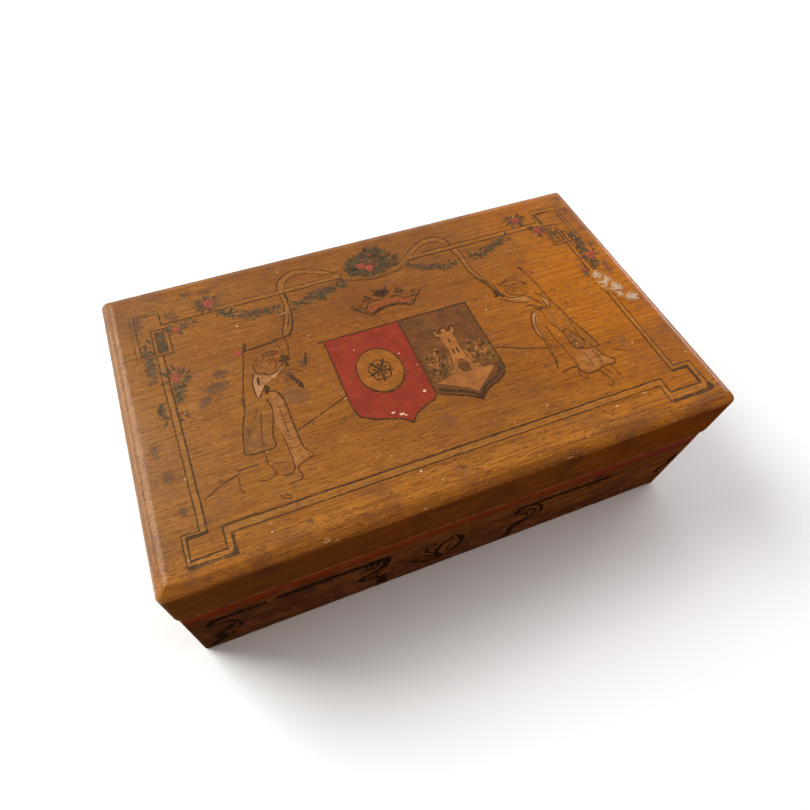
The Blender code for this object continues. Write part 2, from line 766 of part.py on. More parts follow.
def main():
    clear_scene()
    base_back_wall = make_base()
    make_lips()
    make_partitions()
    lid_back_rail = make_lid()
    make_hinge("left", -1, base_back_wall, lid_back_rail)
    make_hinge("right", 1, base_back_wall, lid_back_rail)
    make_catch()
    make_base_plate()
    make_spring()
    make_gown()
    make_torso()
    make_ruff()
    make_head()
    make_hat()


main()
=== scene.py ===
"""The looks of the wooden box with a spring figure: worn varnished beech, ink and paint artwork,
brass fittings, cloth and a painted head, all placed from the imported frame. Metres, +Z up."""

import math
import random

import bmesh
import bpy
import numpy as np
from mathutils import Matrix, Vector, noise


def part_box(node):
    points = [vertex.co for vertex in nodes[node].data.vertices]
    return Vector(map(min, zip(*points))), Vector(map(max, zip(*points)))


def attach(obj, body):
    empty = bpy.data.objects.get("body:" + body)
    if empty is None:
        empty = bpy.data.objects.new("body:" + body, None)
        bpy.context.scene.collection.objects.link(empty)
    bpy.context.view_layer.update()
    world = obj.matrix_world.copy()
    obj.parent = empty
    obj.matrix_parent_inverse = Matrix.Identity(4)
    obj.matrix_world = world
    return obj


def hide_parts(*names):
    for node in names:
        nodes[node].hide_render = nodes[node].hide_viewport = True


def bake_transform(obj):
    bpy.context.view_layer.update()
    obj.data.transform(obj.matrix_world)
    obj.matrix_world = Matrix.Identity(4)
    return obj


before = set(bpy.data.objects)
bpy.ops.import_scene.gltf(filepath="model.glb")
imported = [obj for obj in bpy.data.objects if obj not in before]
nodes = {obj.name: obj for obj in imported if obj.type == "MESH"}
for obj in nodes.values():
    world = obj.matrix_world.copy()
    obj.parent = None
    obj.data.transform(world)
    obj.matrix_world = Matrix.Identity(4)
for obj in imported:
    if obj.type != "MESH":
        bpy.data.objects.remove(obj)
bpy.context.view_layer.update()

MM = 0.001

# Places read from the frame
PANEL_LOW, PANEL_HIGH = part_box("lid_top_panel")
RAIL_LOW, RAIL_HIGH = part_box("lid_front_rail")
WALL_LOW, WALL_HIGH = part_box("base_front_wall")
BACK_WALL_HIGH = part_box("base_back_wall")[1]
LID_TOP = PANEL_HIGH.z
LID_CENTRE = (PANEL_LOW + PANEL_HIGH) / 2
LID_HALF_X = PANEL_HIGH.x
LID_HALF_Y = (PANEL_HIGH.y - PANEL_LOW.y) / 2
BASE_HALF_X = WALL_HIGH.x
BASE_HALF_Y = (BACK_WALL_HIGH.y - WALL_LOW.y) / 2
BASE_CENTRE_Y = (BACK_WALL_HIGH.y + WALL_LOW.y) / 2
BASE_WALL = WALL_HIGH.y - WALL_LOW.y
BASE_TOP = WALL_HIGH.z
LID_WALL = RAIL_HIGH.y - RAIL_LOW.y


# ---------------------------------------------------------------- camera

CAMERA_FROM_LID = Vector((-71.9, -64.96, 183.4)) * MM  # from the middle of the lid's front edge, at its top
CAMERA_FORWARD = Vector((0.20537, 0.51317, -0.83335))
CAMERA_RIGHT = Vector((0.93611, -0.35142, 0.01428))
SENSOR = 36.0
FOCAL_IN_FRAMES = 593.8 / 810
CAMERA_SHIFT = (0.0589, -0.0067)


def make_camera():
    """The camera, from its distance to the lid's front edge and the ways it looks and lies."""
    data = bpy.data.cameras.new("camera")
    data.sensor_width = SENSOR
    data.lens = SENSOR * FOCAL_IN_FRAMES
    data.shift_x, data.shift_y = CAMERA_SHIFT
    data.clip_start = 0.005
    camera = bpy.data.objects.new("camera", data)
    bpy.context.scene.collection.objects.link(camera)
    back = -CAMERA_FORWARD.normalized()
    right = (CAMERA_RIGHT - CAMERA_RIGHT.dot(back) * back).normalized()
    up = back.cross(right)
    turn = Matrix((right, up, back)).transposed()
    corner = Vector((0, PANEL_LOW.y, LID_TOP))
    camera.matrix_world = Matrix.Translation(corner + CAMERA_FROM_LID) @ turn.to_4x4()
    bpy.context.scene.camera = camera


# ---------------------------------------------------------------- stage and light


def area_light(name, place, aim, size, power, colour=(1, 1, 1)):
    """A rectangular lamp at one place, turned toward another."""
    data = bpy.data.lights.new(name, "AREA")
    data.shape = "RECTANGLE"
    data.size, data.size_y = size
    data.energy = power
    data.color = colour
    lamp = bpy.data.objects.new(name, data)
    lamp.location = place
    lamp.rotation_euler = (Vector(aim) - Vector(place)).to_track_quat("-Z", "Y").to_euler()
    bpy.context.scene.collection.objects.link(lamp)
    return lamp


FLOOR_RADIUS = 0.90
FLOOR_DROP = 0.0002  # keeps the floor out of the plane of the box's foot
FLOOR_COLOUR = (0.890, 0.918, 0.925, 1)


def make_floor():
    """A pale disc that takes the box's shadow and gives it no reflection."""
    bm = bmesh.new()
    bmesh.ops.create_circle(bm, cap_ends=True, segments=96, radius=FLOOR_RADIUS)
    pale = bpy.data.materials.new("floor_pale")
    pale.use_nodes = True
    sockets = pale.node_tree.nodes["Principled BSDF"].inputs
    sockets["Base Color"].default_value = FLOOR_COLOUR
    sockets["Roughness"].default_value = 0.9
    floor = mesh_object("floor", bm, pale)
    floor.location.z = -FLOOR_DROP
    floor.visible_diffuse = False
    floor.visible_glossy = False


def make_world():
    """Light from all round: warm in front, white behind, grey overhead, and dark below but for the left."""
    world = bpy.data.worlds.new("studio")
    bpy.context.scene.world = world
    world.use_nodes = True
    make = Nodes(world.node_tree)
    x, y, z = make.axes(make.add("ShaderNodeTexCoord").outputs["Generated"])
    above_floor = make.step(z, -0.40, 0.05)
    overhead = make.step(z, 0.20, 0.75)
    behind = make.step(y, 0.05, 0.85)
    level = make.mix(behind, (0.70, 0.44, 0.27), (1.05, 1.05, 1.0))
    pale_floor = make.step(x, -0.40, -0.75)
    below = make.mix(pale_floor, (0.014, 0.007, 0.005), (1.90, 2.00, 1.80))
    around = make.mix(above_floor, below, level)
    sky = make.mix(overhead, around, (0.15, 0.16, 0.18))
    # What the lens itself sees past the floor is a plain pale backdrop
    seen = make.add("ShaderNodeLightPath").outputs["Is Camera Ray"]
    make.feed(world.node_tree.nodes["Background"].inputs["Color"], make.mix(seen, sky, (1, 1, 1)))


def make_lights():
    """A window behind on the left, weak fills, and rims at both sides."""
    area_light("window", (-0.80, 0.70, 1.10), (0, 0, 0.03), (0.8, 0.7), 23, (1.0, 0.99, 0.97))
    fill = area_light("overhead", (0.35, 0.25, 1.25), (0.1, 0, 0.0), (1.2, 1.0), 7.6)
    fill.visible_glossy = False
    area_light("rim", (1.25, 0.45, 0.25), (0.1, 0, 0.05), (0.5, 0.35), 3.2, (1.0, 0.86, 0.96))
    area_light("left_rim", (-1.20, 0.70, 0.30), (0, 0, 0.05), (0.6, 0.35), 5.0, (0.96, 1.0, 0.97))
    area_light("corner", (0.75, -0.42, 0.72), (0.09, -0.06, 0.06), (0.22, 0.16), 0.35, (1.0, 0.80, 0.95))
    bpy.context.scene.view_settings.view_transform = "Standard"


# ---------------------------------------------------------------- node helpers


class Nodes:
    """Builds a node tree with short calls."""

    def __init__(self, tree):
        self.tree = tree

    def add(self, kind, **settings):
        node = self.tree.nodes.new(kind)
        for name, value in settings.items():
            setattr(node, name, value)
        return node

    def feed(self, socket, value):
        """Links a socket to another or sets its value. A colour without an alpha gets an alpha of 1."""
        if hasattr(value, "node"):
            self.tree.links.new(value, socket)
        elif hasattr(value, "__len__") and len(value) == 3 and len(socket.default_value) == 4:
            socket.default_value = (*value, 1)
        else:
            socket.default_value = value

    def place(self):
        """The place on the object, in metres."""
        return self.add("ShaderNodeTexCoord").outputs["Object"]

    def attribute(self, name):
        """A number that the mesh carries at each of its points."""
        return self.add("ShaderNodeAttribute", attribute_name=name).outputs["Fac"]

    def axes(self, vector):
        """The x, y and z of a vector."""
        node = self.add("ShaderNodeSeparateXYZ")
        self.feed(node.inputs[0], vector)
        return node.outputs

    def math(self, operation, a, b=0.0, c=0.0):
        node = self.add("ShaderNodeMath", operation=operation)
        for socket, value in zip(node.inputs, (a, b, c)):
            self.feed(socket, value)
        return node.outputs[0]

    def plus(self, a, b):
        return self.math("ADD", a, b)

    def times(self, a, b):
        return self.math("MULTIPLY", a, b)

    def line(self, value, slope, start):
        """The value times the slope, plus the start."""
        return self.math("MULTIPLY_ADD", value, slope, start)

    def size(self, value):
        """The value without its sign."""
        return self.math("ABSOLUTE", value)

    def stretch(self, coordinates, scale, offset=(0, 0, 0)):
        node = self.add("ShaderNodeMapping")
        self.feed(node.inputs["Vector"], coordinates)
        node.inputs["Scale"].default_value = scale
        node.inputs["Location"].default_value = offset
        return node.outputs[0]

    def noise(self, coordinates, scale, detail=3.0, roughness=0.55, distortion=0.0):
        node = self.add("ShaderNodeTexNoise")
        self.feed(node.inputs["Vector"], coordinates)
        node.inputs["Scale"].default_value = scale
        node.inputs["Detail"].default_value = detail
        node.inputs["Roughness"].default_value = roughness
        node.inputs["Distortion"].default_value = distortion
        return node.outputs["Fac"]

    def step(self, value, low, high):
        """0 below low, 1 above high, smooth between. low may be the larger, which turns it round."""
        if low > high:
            return self.math("SUBTRACT", 1.0, self.step(value, high, low))
        node = self.add("ShaderNodeMapRange", interpolation_type="SMOOTHSTEP")
        self.feed(node.inputs["Value"], value)
        node.inputs["From Min"].default_value = low
        node.inputs["From Max"].default_value = high
        return node.outputs["Result"]

    def mix(self, factor, a, b, blend="MIX"):
        node = self.add("ShaderNodeMix", data_type="RGBA", blend_type=blend, clamp_factor=True)
        self.feed(node.inputs["Factor"], factor)
        self.feed(node.inputs[6], a)
        self.feed(node.inputs[7], b)
        return node.outputs[2]

    def lay(self, under, over, mask, strength):
        """Covers one colour with another where the mask is 1, as far as the strength says."""
        return self.mix(self.times(mask, strength), under, over)

    def bump(self, height, distance):
        node = self.add("ShaderNodeBump")
        node.inputs["Distance"].default_value = distance
        self.feed(node.inputs["Height"], height)
        return node.outputs["Normal"]


class Material(Nodes):
    """A material whose colour, roughness and relief come from nodes."""

    def __init__(self, name):
        self.made = bpy.data.materials.new(name)
        self.made.use_nodes = True
        super().__init__(self.made.node_tree)

    def surface(self, colour, rough, relief, depth, settings):
        """Joins them to the shader, sets its other sockets by their names, and gives back the material."""
        sockets = self.tree.nodes["Principled BSDF"].inputs
        self.feed(sockets["Base Color"], colour)
        self.feed(sockets["Roughness"], rough)
        self.feed(sockets["Normal"], self.bump(relief, depth))
        for name, value in settings.items():
            sockets[name].default_value = value
        return self.made


# ---------------------------------------------------------------- wood


def make_wood_group():
    """Old varnished beech, grain along X: colour, roughness and relief from the place on the object."""
    group = bpy.data.node_groups.new("varnished_beech", "ShaderNodeTree")
    for name, kind in (("Color", "NodeSocketColor"), ("Roughness", "NodeSocketFloat"),
                       ("Relief", "NodeSocketFloat")):
        group.interface.new_socket(name, in_out="OUTPUT", socket_type=kind)
    make = Nodes(group)
    place = make.place()
    x, y, z = make.axes(place)

    broad = make.noise(make.stretch(place, (9, 26, 26)), 1.0, 4, 0.6, 0.3)
    streaks = make.noise(make.stretch(place, (45, 1050, 1050)), 1.0, 3, 0.6)
    fine = make.noise(make.stretch(place, (240, 4300, 4300)), 1.0, 2, 0.6)
    flecks = make.noise(make.stretch(place, (360, 2500, 2500), (3, 1, 7)), 1.0, 2, 0.5)
    fleck = make.step(flecks, 0.585, 0.665)
    mottle = make.noise(place, 1500, 2, 0.6)

    colour = make.mix(make.step(broad, 0.30, 0.72), (0.215, 0.070, 0.011), (0.300, 0.110, 0.017))
    # Painted light: toward the right the top is painted brighter and more orange, in patches, where more
    # light falls on it.
    painted_light_patches = make.step(make.noise(make.stretch(place, (7, 11, 11), (1.7, 0.4, 0)), 1.0, 2), 0.45, 0.68)
    painted_light_right = make.step(x, 0.02, 0.085)
    colour = make.lay(colour, (0.415, 0.128, 0.002), make.math("MAXIMUM", painted_light_patches, 0.62), painted_light_right)
    golden = make.step(x, -0.02, -0.10)
    colour = make.lay(colour, (0.250, 0.108, 0.024), golden, 0.55)
    toward_back = make.step(y, LID_CENTRE.y + 8 * MM, LID_CENTRE.y + 34 * MM)
    dull = make.times(toward_back, make.step(make.size(x), 0.080, 0.045))
    colour = make.lay(colour, (0.100, 0.052, 0.024), dull, 0.24)
    # Rubbed wear and a painted highlight: a strip along the front of the top is painted lighter, where a
    # broad highlight lies.
    near_front = make.plus(y, make.times(broad, 5 * MM))
    front = LID_CENTRE.y - LID_HALF_Y
    rubbed_and_painted_highlight = make.step(near_front, front + 19 * MM, front + 10 * MM)
    rubbed_and_painted_highlight = make.times(rubbed_and_painted_highlight, make.step(z, LID_TOP - 6 * MM, LID_TOP - 3 * MM))
    colour = make.lay(colour, (0.46, 0.175, 0.020), rubbed_and_painted_highlight, 0.50)
    depth = make.line(rubbed_and_painted_highlight, 0.16, 0.38)
    colour = make.lay(colour, (0.145, 0.040, 0.006), make.step(streaks, 0.44, 0.62), depth)
    colour = make.lay(colour, (0.46, 0.180, 0.035), make.step(streaks, 0.46, 0.30), 0.22)
    colour = make.lay(colour, (0.115, 0.032, 0.006), make.step(fine, 0.46, 0.66), 0.46)
    colour = make.lay(colour, (0.080, 0.022, 0.006), fleck, make.line(rubbed_and_painted_highlight, 0.22, 0.56))
    colour = make.lay(colour, (0.09, 0.025, 0.006), make.step(mottle, 0.40, 0.68), 0.16)
    colour = make.lay(colour, (0.55, 0.24, 0.06), make.step(mottle, 0.42, 0.24), 0.18)

    # Dirt settled near the rims, and dark violet-brown blotches, most of them to the left
    grime = make.noise(place, 55, 5, 0.65, 0.6)
    rim_y = make.step(make.size(make.plus(y, -LID_CENTRE.y)), LID_HALF_Y * 0.72, LID_HALF_Y)
    rim_x = make.step(make.size(x), LID_HALF_X * 0.80, LID_HALF_X)
    rim = make.math("MAXIMUM", rim_x, rim_y)
    soiled = make.times(make.step(grime, 0.47, 0.66), make.line(rim, 0.36, 0.20))
    colour = make.mix(soiled, colour, (0.110, 0.040, 0.018))
    toward_left = make.step(x, 0.09, -0.10)
    blotch = make.noise(make.stretch(place, (75, 95, 95), (5.1, 2.3, 0)), 1.0, 3, 0.5, 0.5)
    reach = make.line(toward_left, 0.050, -0.018)
    blotch = make.step(make.plus(blotch, reach), 0.60, 0.78)
    colour = make.lay(colour, (0.085, 0.040, 0.030), blotch, 0.42)

    # Pale rubbed spots
    rubbed = make.step(make.noise(make.stretch(place, (260, 420, 420), (9, 0, 2)), 1.0, 2, 0.5), 0.735,
                       0.78)
    colour = make.lay(colour, (0.62, 0.36, 0.17), rubbed, 0.55)

    patchy = make.noise(place, 32, 4, 0.6)
    rough = make.line(patchy, 0.30, 0.20)
    rough = make.plus(rough, make.times(blotch, 0.12))
    relief = make.line(streaks, -0.45, make.times(fine, -0.25))
    relief = make.plus(relief, make.times(fleck, -0.55))
    dents = make.step(make.noise(place, 130, 2, 0.5), 0.70, 0.82)
    relief = make.plus(relief, make.times(dents, -0.9))

    out = make.add("NodeGroupOutput")
    make.feed(out.inputs["Color"], colour)
    make.feed(out.inputs["Roughness"], rough)
    make.feed(out.inputs["Relief"], relief)
    return group


WOOD = make_wood_group()
WOOD_RELIEF = 0.00009
RED_HIGH = BASE_TOP - 3.6 * MM  # upper and lower edge of the red band round the base
RED_LOW = BASE_TOP - 12.7 * MM


WARM_SHINE = {"Specular IOR Level": 0.22, "Specular Tint": (1.0, 0.76, 0.45, 1)}
VARNISH = {"Coat Weight": 0.13, "Coat Roughness": 0.13, "Coat IOR": 1.45, **WARM_SHINE}


def add_wood(make):
    """The colour, roughness and relief of the varnished wood."""
    return make.add("ShaderNodeGroup", node_tree=WOOD).outputs


def lid_wood_material():
    make = Material("lid_varnished_beech")
    colour, rough, relief = add_wood(make)
    return make.surface(colour, rough, relief, WOOD_RELIEF, VARNISH)


def base_wood_material():
    """The same wood, darker, with a red painted band under a rubbed rim, and a violet-brown foot that grows
    darker towards the bottom.
    """
    make = Material("base_varnished_beech")
    colour, rough, relief = add_wood(make)
    place = make.place()
    x, y, height = make.axes(place)
    wander = make.line(make.noise(place, 60, 3), 0.0012, -0.0006)
    z = make.plus(height, wander)
    colour = make.mix(0.50, colour, (0.240, 0.108, 0.040))
    mottle = make.noise(make.stretch(place, (70, 70, 130)), 1.0, 5, 0.72, 0.8)
    lowness = make.step(z, 30 * MM, 2 * MM)
    leftness = make.step(x, -0.02, -0.10)
    soiled = make.line(make.math("MAXIMUM", lowness, leftness), 0.09, mottle)
    violet = make.step(soiled, 0.47, 0.60)
    front = make.step(y, WALL_LOW.y + 3 * MM, WALL_LOW.y + 1 * MM)
    grime = make.line(front, 0.32, 0.40)
    colour = make.lay(colour, (0.085, 0.027, 0.020), violet, grime)
    streak = make.step(make.noise(make.stretch(place, (70, 70, 900)), 1.0, 4, 0.6), 0.52, 0.66)
    colour = make.lay(colour, (0.050, 0.018, 0.010), streak, 0.30)
    thin = make.noise(make.stretch(place, (60, 60, 30), (3, 1, 1)), 1.0, 3, 0.6)
    low_edge = make.line(thin, 5.0 * MM, RED_LOW - 2.0 * MM)
    fade = make.times(make.plus(z, make.times(low_edge, -1.0)), 1 / (3.4 * MM))
    band = make.times(make.step(fade, 0.0, 1.0), make.step(z, RED_HIGH + 0.3 * MM, RED_HIGH - 0.1 * MM))
    cover = make.step(make.noise(make.stretch(place, (90, 90, 300)), 1.0, 4, 0.65), 0.30, 0.52)
    crimson = make.step(x, 0.04, 0.10)
    bright = make.step(z, RED_HIGH - 6.5 * MM, RED_HIGH - 2.0 * MM)
    dull_red = make.mix(crimson, (0.200, 0.034, 0.010), (0.210, 0.028, 0.032))
    clear_red = make.mix(crimson, (0.300, 0.046, 0.013), (0.330, 0.050, 0.052))
    red = make.mix(bright, dull_red, clear_red)
    colour = make.lay(colour, red, band, make.times(cover, 0.88))
    bare = make.step(z, RED_HIGH - 0.1 * MM, RED_HIGH + 0.3 * MM)
    patch = make.step(make.noise(make.stretch(place, (120, 120, 40)), 1.0, 4, 0.7), 0.34, 0.58)
    colour = make.lay(colour, (0.36, 0.165, 0.066), make.times(bare, patch), 0.75)
    # Darker towards the very bottom of the walls.
    foot = make.step(z, 3.0 * MM, 0.3 * MM)
    colour = make.lay(colour, (0.040, 0.012, 0.008), foot, 0.55)
    return make.surface(colour, rough, relief, WOOD_RELIEF, VARNISH)


# ---------------------------------------------------------------- mesh helpers


def mesh_object(name, bm, material):
    """Turns the form into an object of the scene with that material."""
    mesh = bpy.data.meshes.new(name)
    bm.to_mesh(mesh)
    bm.free()
    mesh.materials.append(material)
    obj = bpy.data.objects.new(name, mesh)
    bpy.context.scene.collection.objects.link(obj)
    return obj


def hand_over(obj, body, slot=None, replaced=()):
    """Says which body carries the piece and hides the CAD nodes it stands for; slot, what it is made of, is
    not used.
    """
    if body:
        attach(obj, body)
    if replaced:
        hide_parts(*replaced)


def smooth(obj, sharpest):
    """Smooth shading, but for edges sharper than that many degrees."""
    obj.data.shade_smooth()
    obj.data.set_sharp_from_angle(angle=math.radians(sharpest))


def face_outward(bm, outward):
    """Turns each face of a flat form to that side."""
    for face in bm.faces:
        face.normal_update()
        if face.normal.dot(outward) < 0:
            face.normal_flip()


def add_piece(name, bm, material, body, slot=None, replaced=(), smooth_over=40):
    """Makes a smooth-shaded piece. With no body it isn't handed over to one yet."""
    bmesh.ops.recalc_face_normals(bm, faces=bm.faces)
    obj = mesh_object(name, bm, material)
    smooth(obj, smooth_over)
    hand_over(obj, body, slot, replaced)
    return obj


def applied(obj):
    """Turns the object's modifiers into plain mesh."""
    graph = bpy.context.evaluated_depsgraph_get()
    mesh = bpy.data.meshes.new_from_object(obj.evaluated_get(graph))
    obj.modifiers.clear()
    obj.data = mesh


def melted(obj, grain, rounds):
    """Joins overlapping forms into one soft one."""
    melt = obj.modifiers.new("melt", "REMESH")
    melt.mode = "VOXEL"
    melt.voxel_size = grain
    melt.use_smooth_shade = True
    soften = obj.modifiers.new("soften", "SMOOTH")
    soften.iterations = rounds
    applied(obj)


def box_cutter(size, place, material):
    """A box to be cut out of another object."""
    bm = bmesh.new()
    bmesh.ops.create_cube(bm, size=1, matrix=Matrix.Translation(place) @ Matrix.Diagonal((*size, 1)))
    return add_piece("cutter", bm, material, None)


def cut_out(obj, cutters):
    """Takes the cutters' shapes out of the object and removes the cutters."""
    for cutter in cutters:
        cut = obj.modifiers.new("cut", "BOOLEAN")
        cut.operation = "DIFFERENCE"
        cut.object = cutter
    bpy.context.view_layer.update()
    applied(obj)
    for cutter in cutters:
        bpy.data.objects.remove(cutter)


def loft(bm, rings, closed=False):
    """Bridges rings of the same number of places. closed joins the last to the first, and otherwise both
    ends get a cap."""
    made = [[bm.verts.new(place) for place in ring] for ring in rings]
    count = len(made[0])
    pairs = list(zip(made, made[1:]))
    if closed:
        pairs.append((made[-1], made[0]))
    for ring, following in pairs:
        for index in range(count):
            other = (index + 1) % count
            bm.faces.new((ring[index], ring[other], following[other], following[index]))
    if not closed:
        bm.faces.new(made[0])
        bm.faces.new(made[-1])


def whole_turn(count):
    """Evenly spaced angles once round, in radians."""
    return [math.tau * step / count for step in range(count)]


def direction(turn, latitude):
    """The unit vector that far round from +X and that high above the level, both in radians."""
    return Vector((math.cos(turn) * math.cos(latitude), math.sin(turn) * math.cos(latitude),
                   math.sin(latitude)))


def level_ring(radius, height, count):
    """Places round the Z axis."""
    return [Vector((radius * math.cos(a), radius * math.sin(a), height)) for a in whole_turn(count)]


def bezier(corners, steps):
    """Points of the curve that those corner points pull."""
    found = []
    for step in range(steps + 1):
        level = [Vector(corner) for corner in corners]
        while len(level) > 1:
            level = [a.lerp(b, step / steps) for a, b in zip(level, level[1:])]
        found.append(level[0])
    return found


def tube_rings(centres, radii, sides, flat=1.0, closed=False):
    """Rings square to a route, of one radius or of one each. flat squeezes them along their second axis.
    The frame is carried along the route, so that the tube doesn't twist."""
    rings = []
    count = len(centres)
    across = None
    for index, centre in enumerate(centres):
        before = centres[index - 1] if closed or index else centre
        after = centres[(index + 1) % count] if closed or index < count - 1 else centre
        ahead = (after - before).normalized()
        if across is None:
            across = ahead.orthogonal().normalized()
        across = (across - ahead * across.dot(ahead)).normalized()
        up = ahead.cross(across)
        radius = radii[index] if hasattr(radii, "__len__") else radii
        angles = whole_turn(sides)
        rings.append([centre + (across * math.cos(a) + up * math.sin(a) * flat) * radius for a in angles])
    return rings


def tube(name, centres, radii, sides, material, body, slot, flat=1.0, closed=False, smooth_over=60):
    """A piece in the form of a tube along a route."""
    bm = bmesh.new()
    loft(bm, tube_rings(centres, radii, sides, flat, closed), closed)
    return add_piece(name, bm, material, body, slot, smooth_over=smooth_over)


def ease(t):
    t = min(1.0, max(0.0, t))
    return t * t * (3 - 2 * t)


def set_attribute(obj, name, values):
    layer = obj.data.attributes.new(name, "FLOAT", "POINT")
    layer.data.foreach_set("value", np.asarray(values, np.float32))


# ---------------------------------------------------------------- box shells


CORNER_STEPS = 8
TIGHTEST = 0.4 * MM  # the least radius that a ring's corners shrink to


def rounded_ring(half_x, half_y, radius, centre_y, steps_x, steps_y):
    """Points round a rectangle with round corners, each with its outward direction."""
    found = []
    for sign_x, sign_y, start in ((1, -1, -90), (1, 1, 0), (-1, 1, 90), (-1, -1, 180)):
        middle = Vector((sign_x * (half_x - radius), centre_y + sign_y * (half_y - radius)))
        for step in range(CORNER_STEPS + 1):
            angle = math.radians(start + 90 * step / CORNER_STEPS)
            out = Vector((math.cos(angle), math.sin(angle)))
            found.append((middle + out * radius, out))
        along_x = sign_x == sign_y
        run = 2 * (half_x - radius) if along_x else 2 * (half_y - radius)
        last, out = found[-1]
        way = Vector((-out.y, out.x))
        count = steps_x if along_x else steps_y
        for step in range(1, count):
            found.append((last + way * (run * step / count), out))
    return found


SHELL_STEP = 1.3 * MM  # between points along a side
SHELL_SMOOTH = 28  # degrees


def shell(half, radius, centre_y, profile, closed, wear):
    """The form of the profile, a list of (inset, height, edge), round a rectangle. Edges are pulled in by
    their share of the wear."""
    half_x, half_y = half
    steps_x, steps_y = int(2 * half_x / SHELL_STEP), int(2 * half_y / SHELL_STEP)
    rings = []
    for inset, height, edge in profile:
        ring = []
        corner = max(radius - inset, TIGHTEST)
        for place, out in rounded_ring(half_x - inset, half_y - inset, corner, centre_y, steps_x, steps_y):
            here = Vector((place.x, place.y, height))
            worn = 0.0
            if edge:
                worn = max(0.0, noise.noise(here * 160) - 0.10) * wear * edge
                worn += max(0.0, noise.noise(here * 700 + Vector((3, 1, 4))) - 0.25) * wear * 1.6 * edge
            flat = place - out * worn
            ring.append(Vector((flat.x, flat.y, height)))
        rings.append(ring)
    bm = bmesh.new()
    loft(bm, rings, closed)
    return bm


def quarter(inset, height, radius, start, end, steps, edge=1.0):
    """Part of a round edge of the profile. Angle 0 points outwards, 90 up."""
    found = []
    for step in range(steps + 1):
        angle = math.radians(start + (end - start) * step / steps)
        found.append((inset - radius * math.cos(angle), height + radius * math.sin(angle), edge))
    return found


LID_CORNER = 2.8 * MM
LID_ROUND = 6.5 * MM  # radius of the lid's upper edge, which ends in an arris above its side
ARRIS_ANGLE = 30
ARRIS_Z = LID_TOP - LID_ROUND * (1 - math.sin(math.radians(ARRIS_ANGLE)))
FLAT_INSET = LID_ROUND * math.cos(math.radians(ARRIS_ANGLE))
HAIR = 0.02 * MM  # the gap between the panel and the rails
LID_WEAR, BASE_WEAR = 0.16 * MM, 0.25 * MM  # how far worn edges are pulled in


def make_lid():
    """The panel and the four rails. The joint between them runs along the arris, where it doesn't show."""
    wood = lid_wood_material()
    half = (LID_HALF_X, LID_HALF_Y)
    ledge = LID_WALL + 0.3 * MM
    profile = [(ledge, PANEL_LOW.z, 0), (ledge, ARRIS_Z, 0)]
    profile += quarter(FLAT_INSET, LID_TOP - LID_ROUND, LID_ROUND, ARRIS_ANGLE, 90, 12)
    panel = shell(half, LID_CORNER, LID_CENTRE.y, profile, False, LID_WEAR)
    add_piece("lid_panel", panel, wood, "lid", "varnished_wood", ("lid_top_panel",), SHELL_SMOOTH)

    edge = 0.35 * MM
    top = ARRIS_Z - HAIR
    profile = [(LID_WALL, top, 0), (0.0, top, 1.0), (0.0, top - 2 * MM, 0), (0.0, RAIL_LOW.z + 2 * MM, 0)]
    profile += quarter(edge, RAIL_LOW.z + edge, edge, 0, -90, 3)
    profile += [(LID_WALL, RAIL_LOW.z, 0)]
    rails = shell(half, LID_CORNER, LID_CENTRE.y, profile, True, LID_WEAR)
    replaced = [f"lid_{side}_rail" for side in ("front", "back", "left", "right")]
    add_piece("lid_rails", rails, wood, "lid", "varnished_wood", replaced, SHELL_SMOOTH)


def make_base():
    """The four walls in one, rounded at the rim, the foot and the corners."""
    foot, rim, corner = 0.6 * MM, 0.4 * MM, 1.6 * MM
    plain = 12 * MM  # how far from its rim and foot the wall starts to be plain
    profile = [(BASE_WALL, BASE_TOP, 0)]
    profile += quarter(rim, BASE_TOP - rim, rim, 90, 0, 4)
    profile += [(0.0, BASE_TOP - plain, 0), (0.0, plain, 0)]
    profile += quarter(foot, foot, foot, 0, -90, 4)
    profile += [(BASE_WALL, 0.0, 0)]
    walls = shell((BASE_HALF_X, BASE_HALF_Y), corner, BASE_CENTRE_Y, profile, True, BASE_WEAR)
    replaced = [f"base_{side}_wall" for side in ("front", "back", "left", "right")]
    add_piece("base_walls", walls, base_wood_material(), "box_base", "varnished_wood", replaced,
              SHELL_SMOOTH)


# ---------------------------------------------------------------- drawing

BURIED = 0.03  # how far paint reaches down into the wood, in millimetres
STROKE_STEP = 0.7
LEVEL_STEP = 0.0005
PEN = 1.22  # how much wider the ink has spread than the pen


def on_lid(x, y, lift):
    """A place on the lid's top, from millimetres right of and behind its middle."""
    return Vector((x * MM, LID_CENTRE.y + y * MM, LID_TOP + lift * MM))


FOOT_EDGE = 0.7 * MM  # nothing is drawn below this height on the base


def on_front(x, z, lift):
    """A place on the base's front wall, from millimetres right of the middle and up from the lid's top."""
    return Vector((x * MM, WALL_LOW.y - lift * MM, max(LID_TOP + z * MM, FOOT_EDGE)))


def on_lid_edge(x, along, lift):
    """A place on the rounded front edge of the lid, by millimetres down from where the flat top ends."""
    angle = math.pi / 2 - along * MM / LID_ROUND
    reach = LID_ROUND + lift * MM
    y = PANEL_LOW.y + FLAT_INSET - reach * math.cos(angle)
    return Vector((x * MM, y, LID_TOP - LID_ROUND + reach * math.sin(angle)))


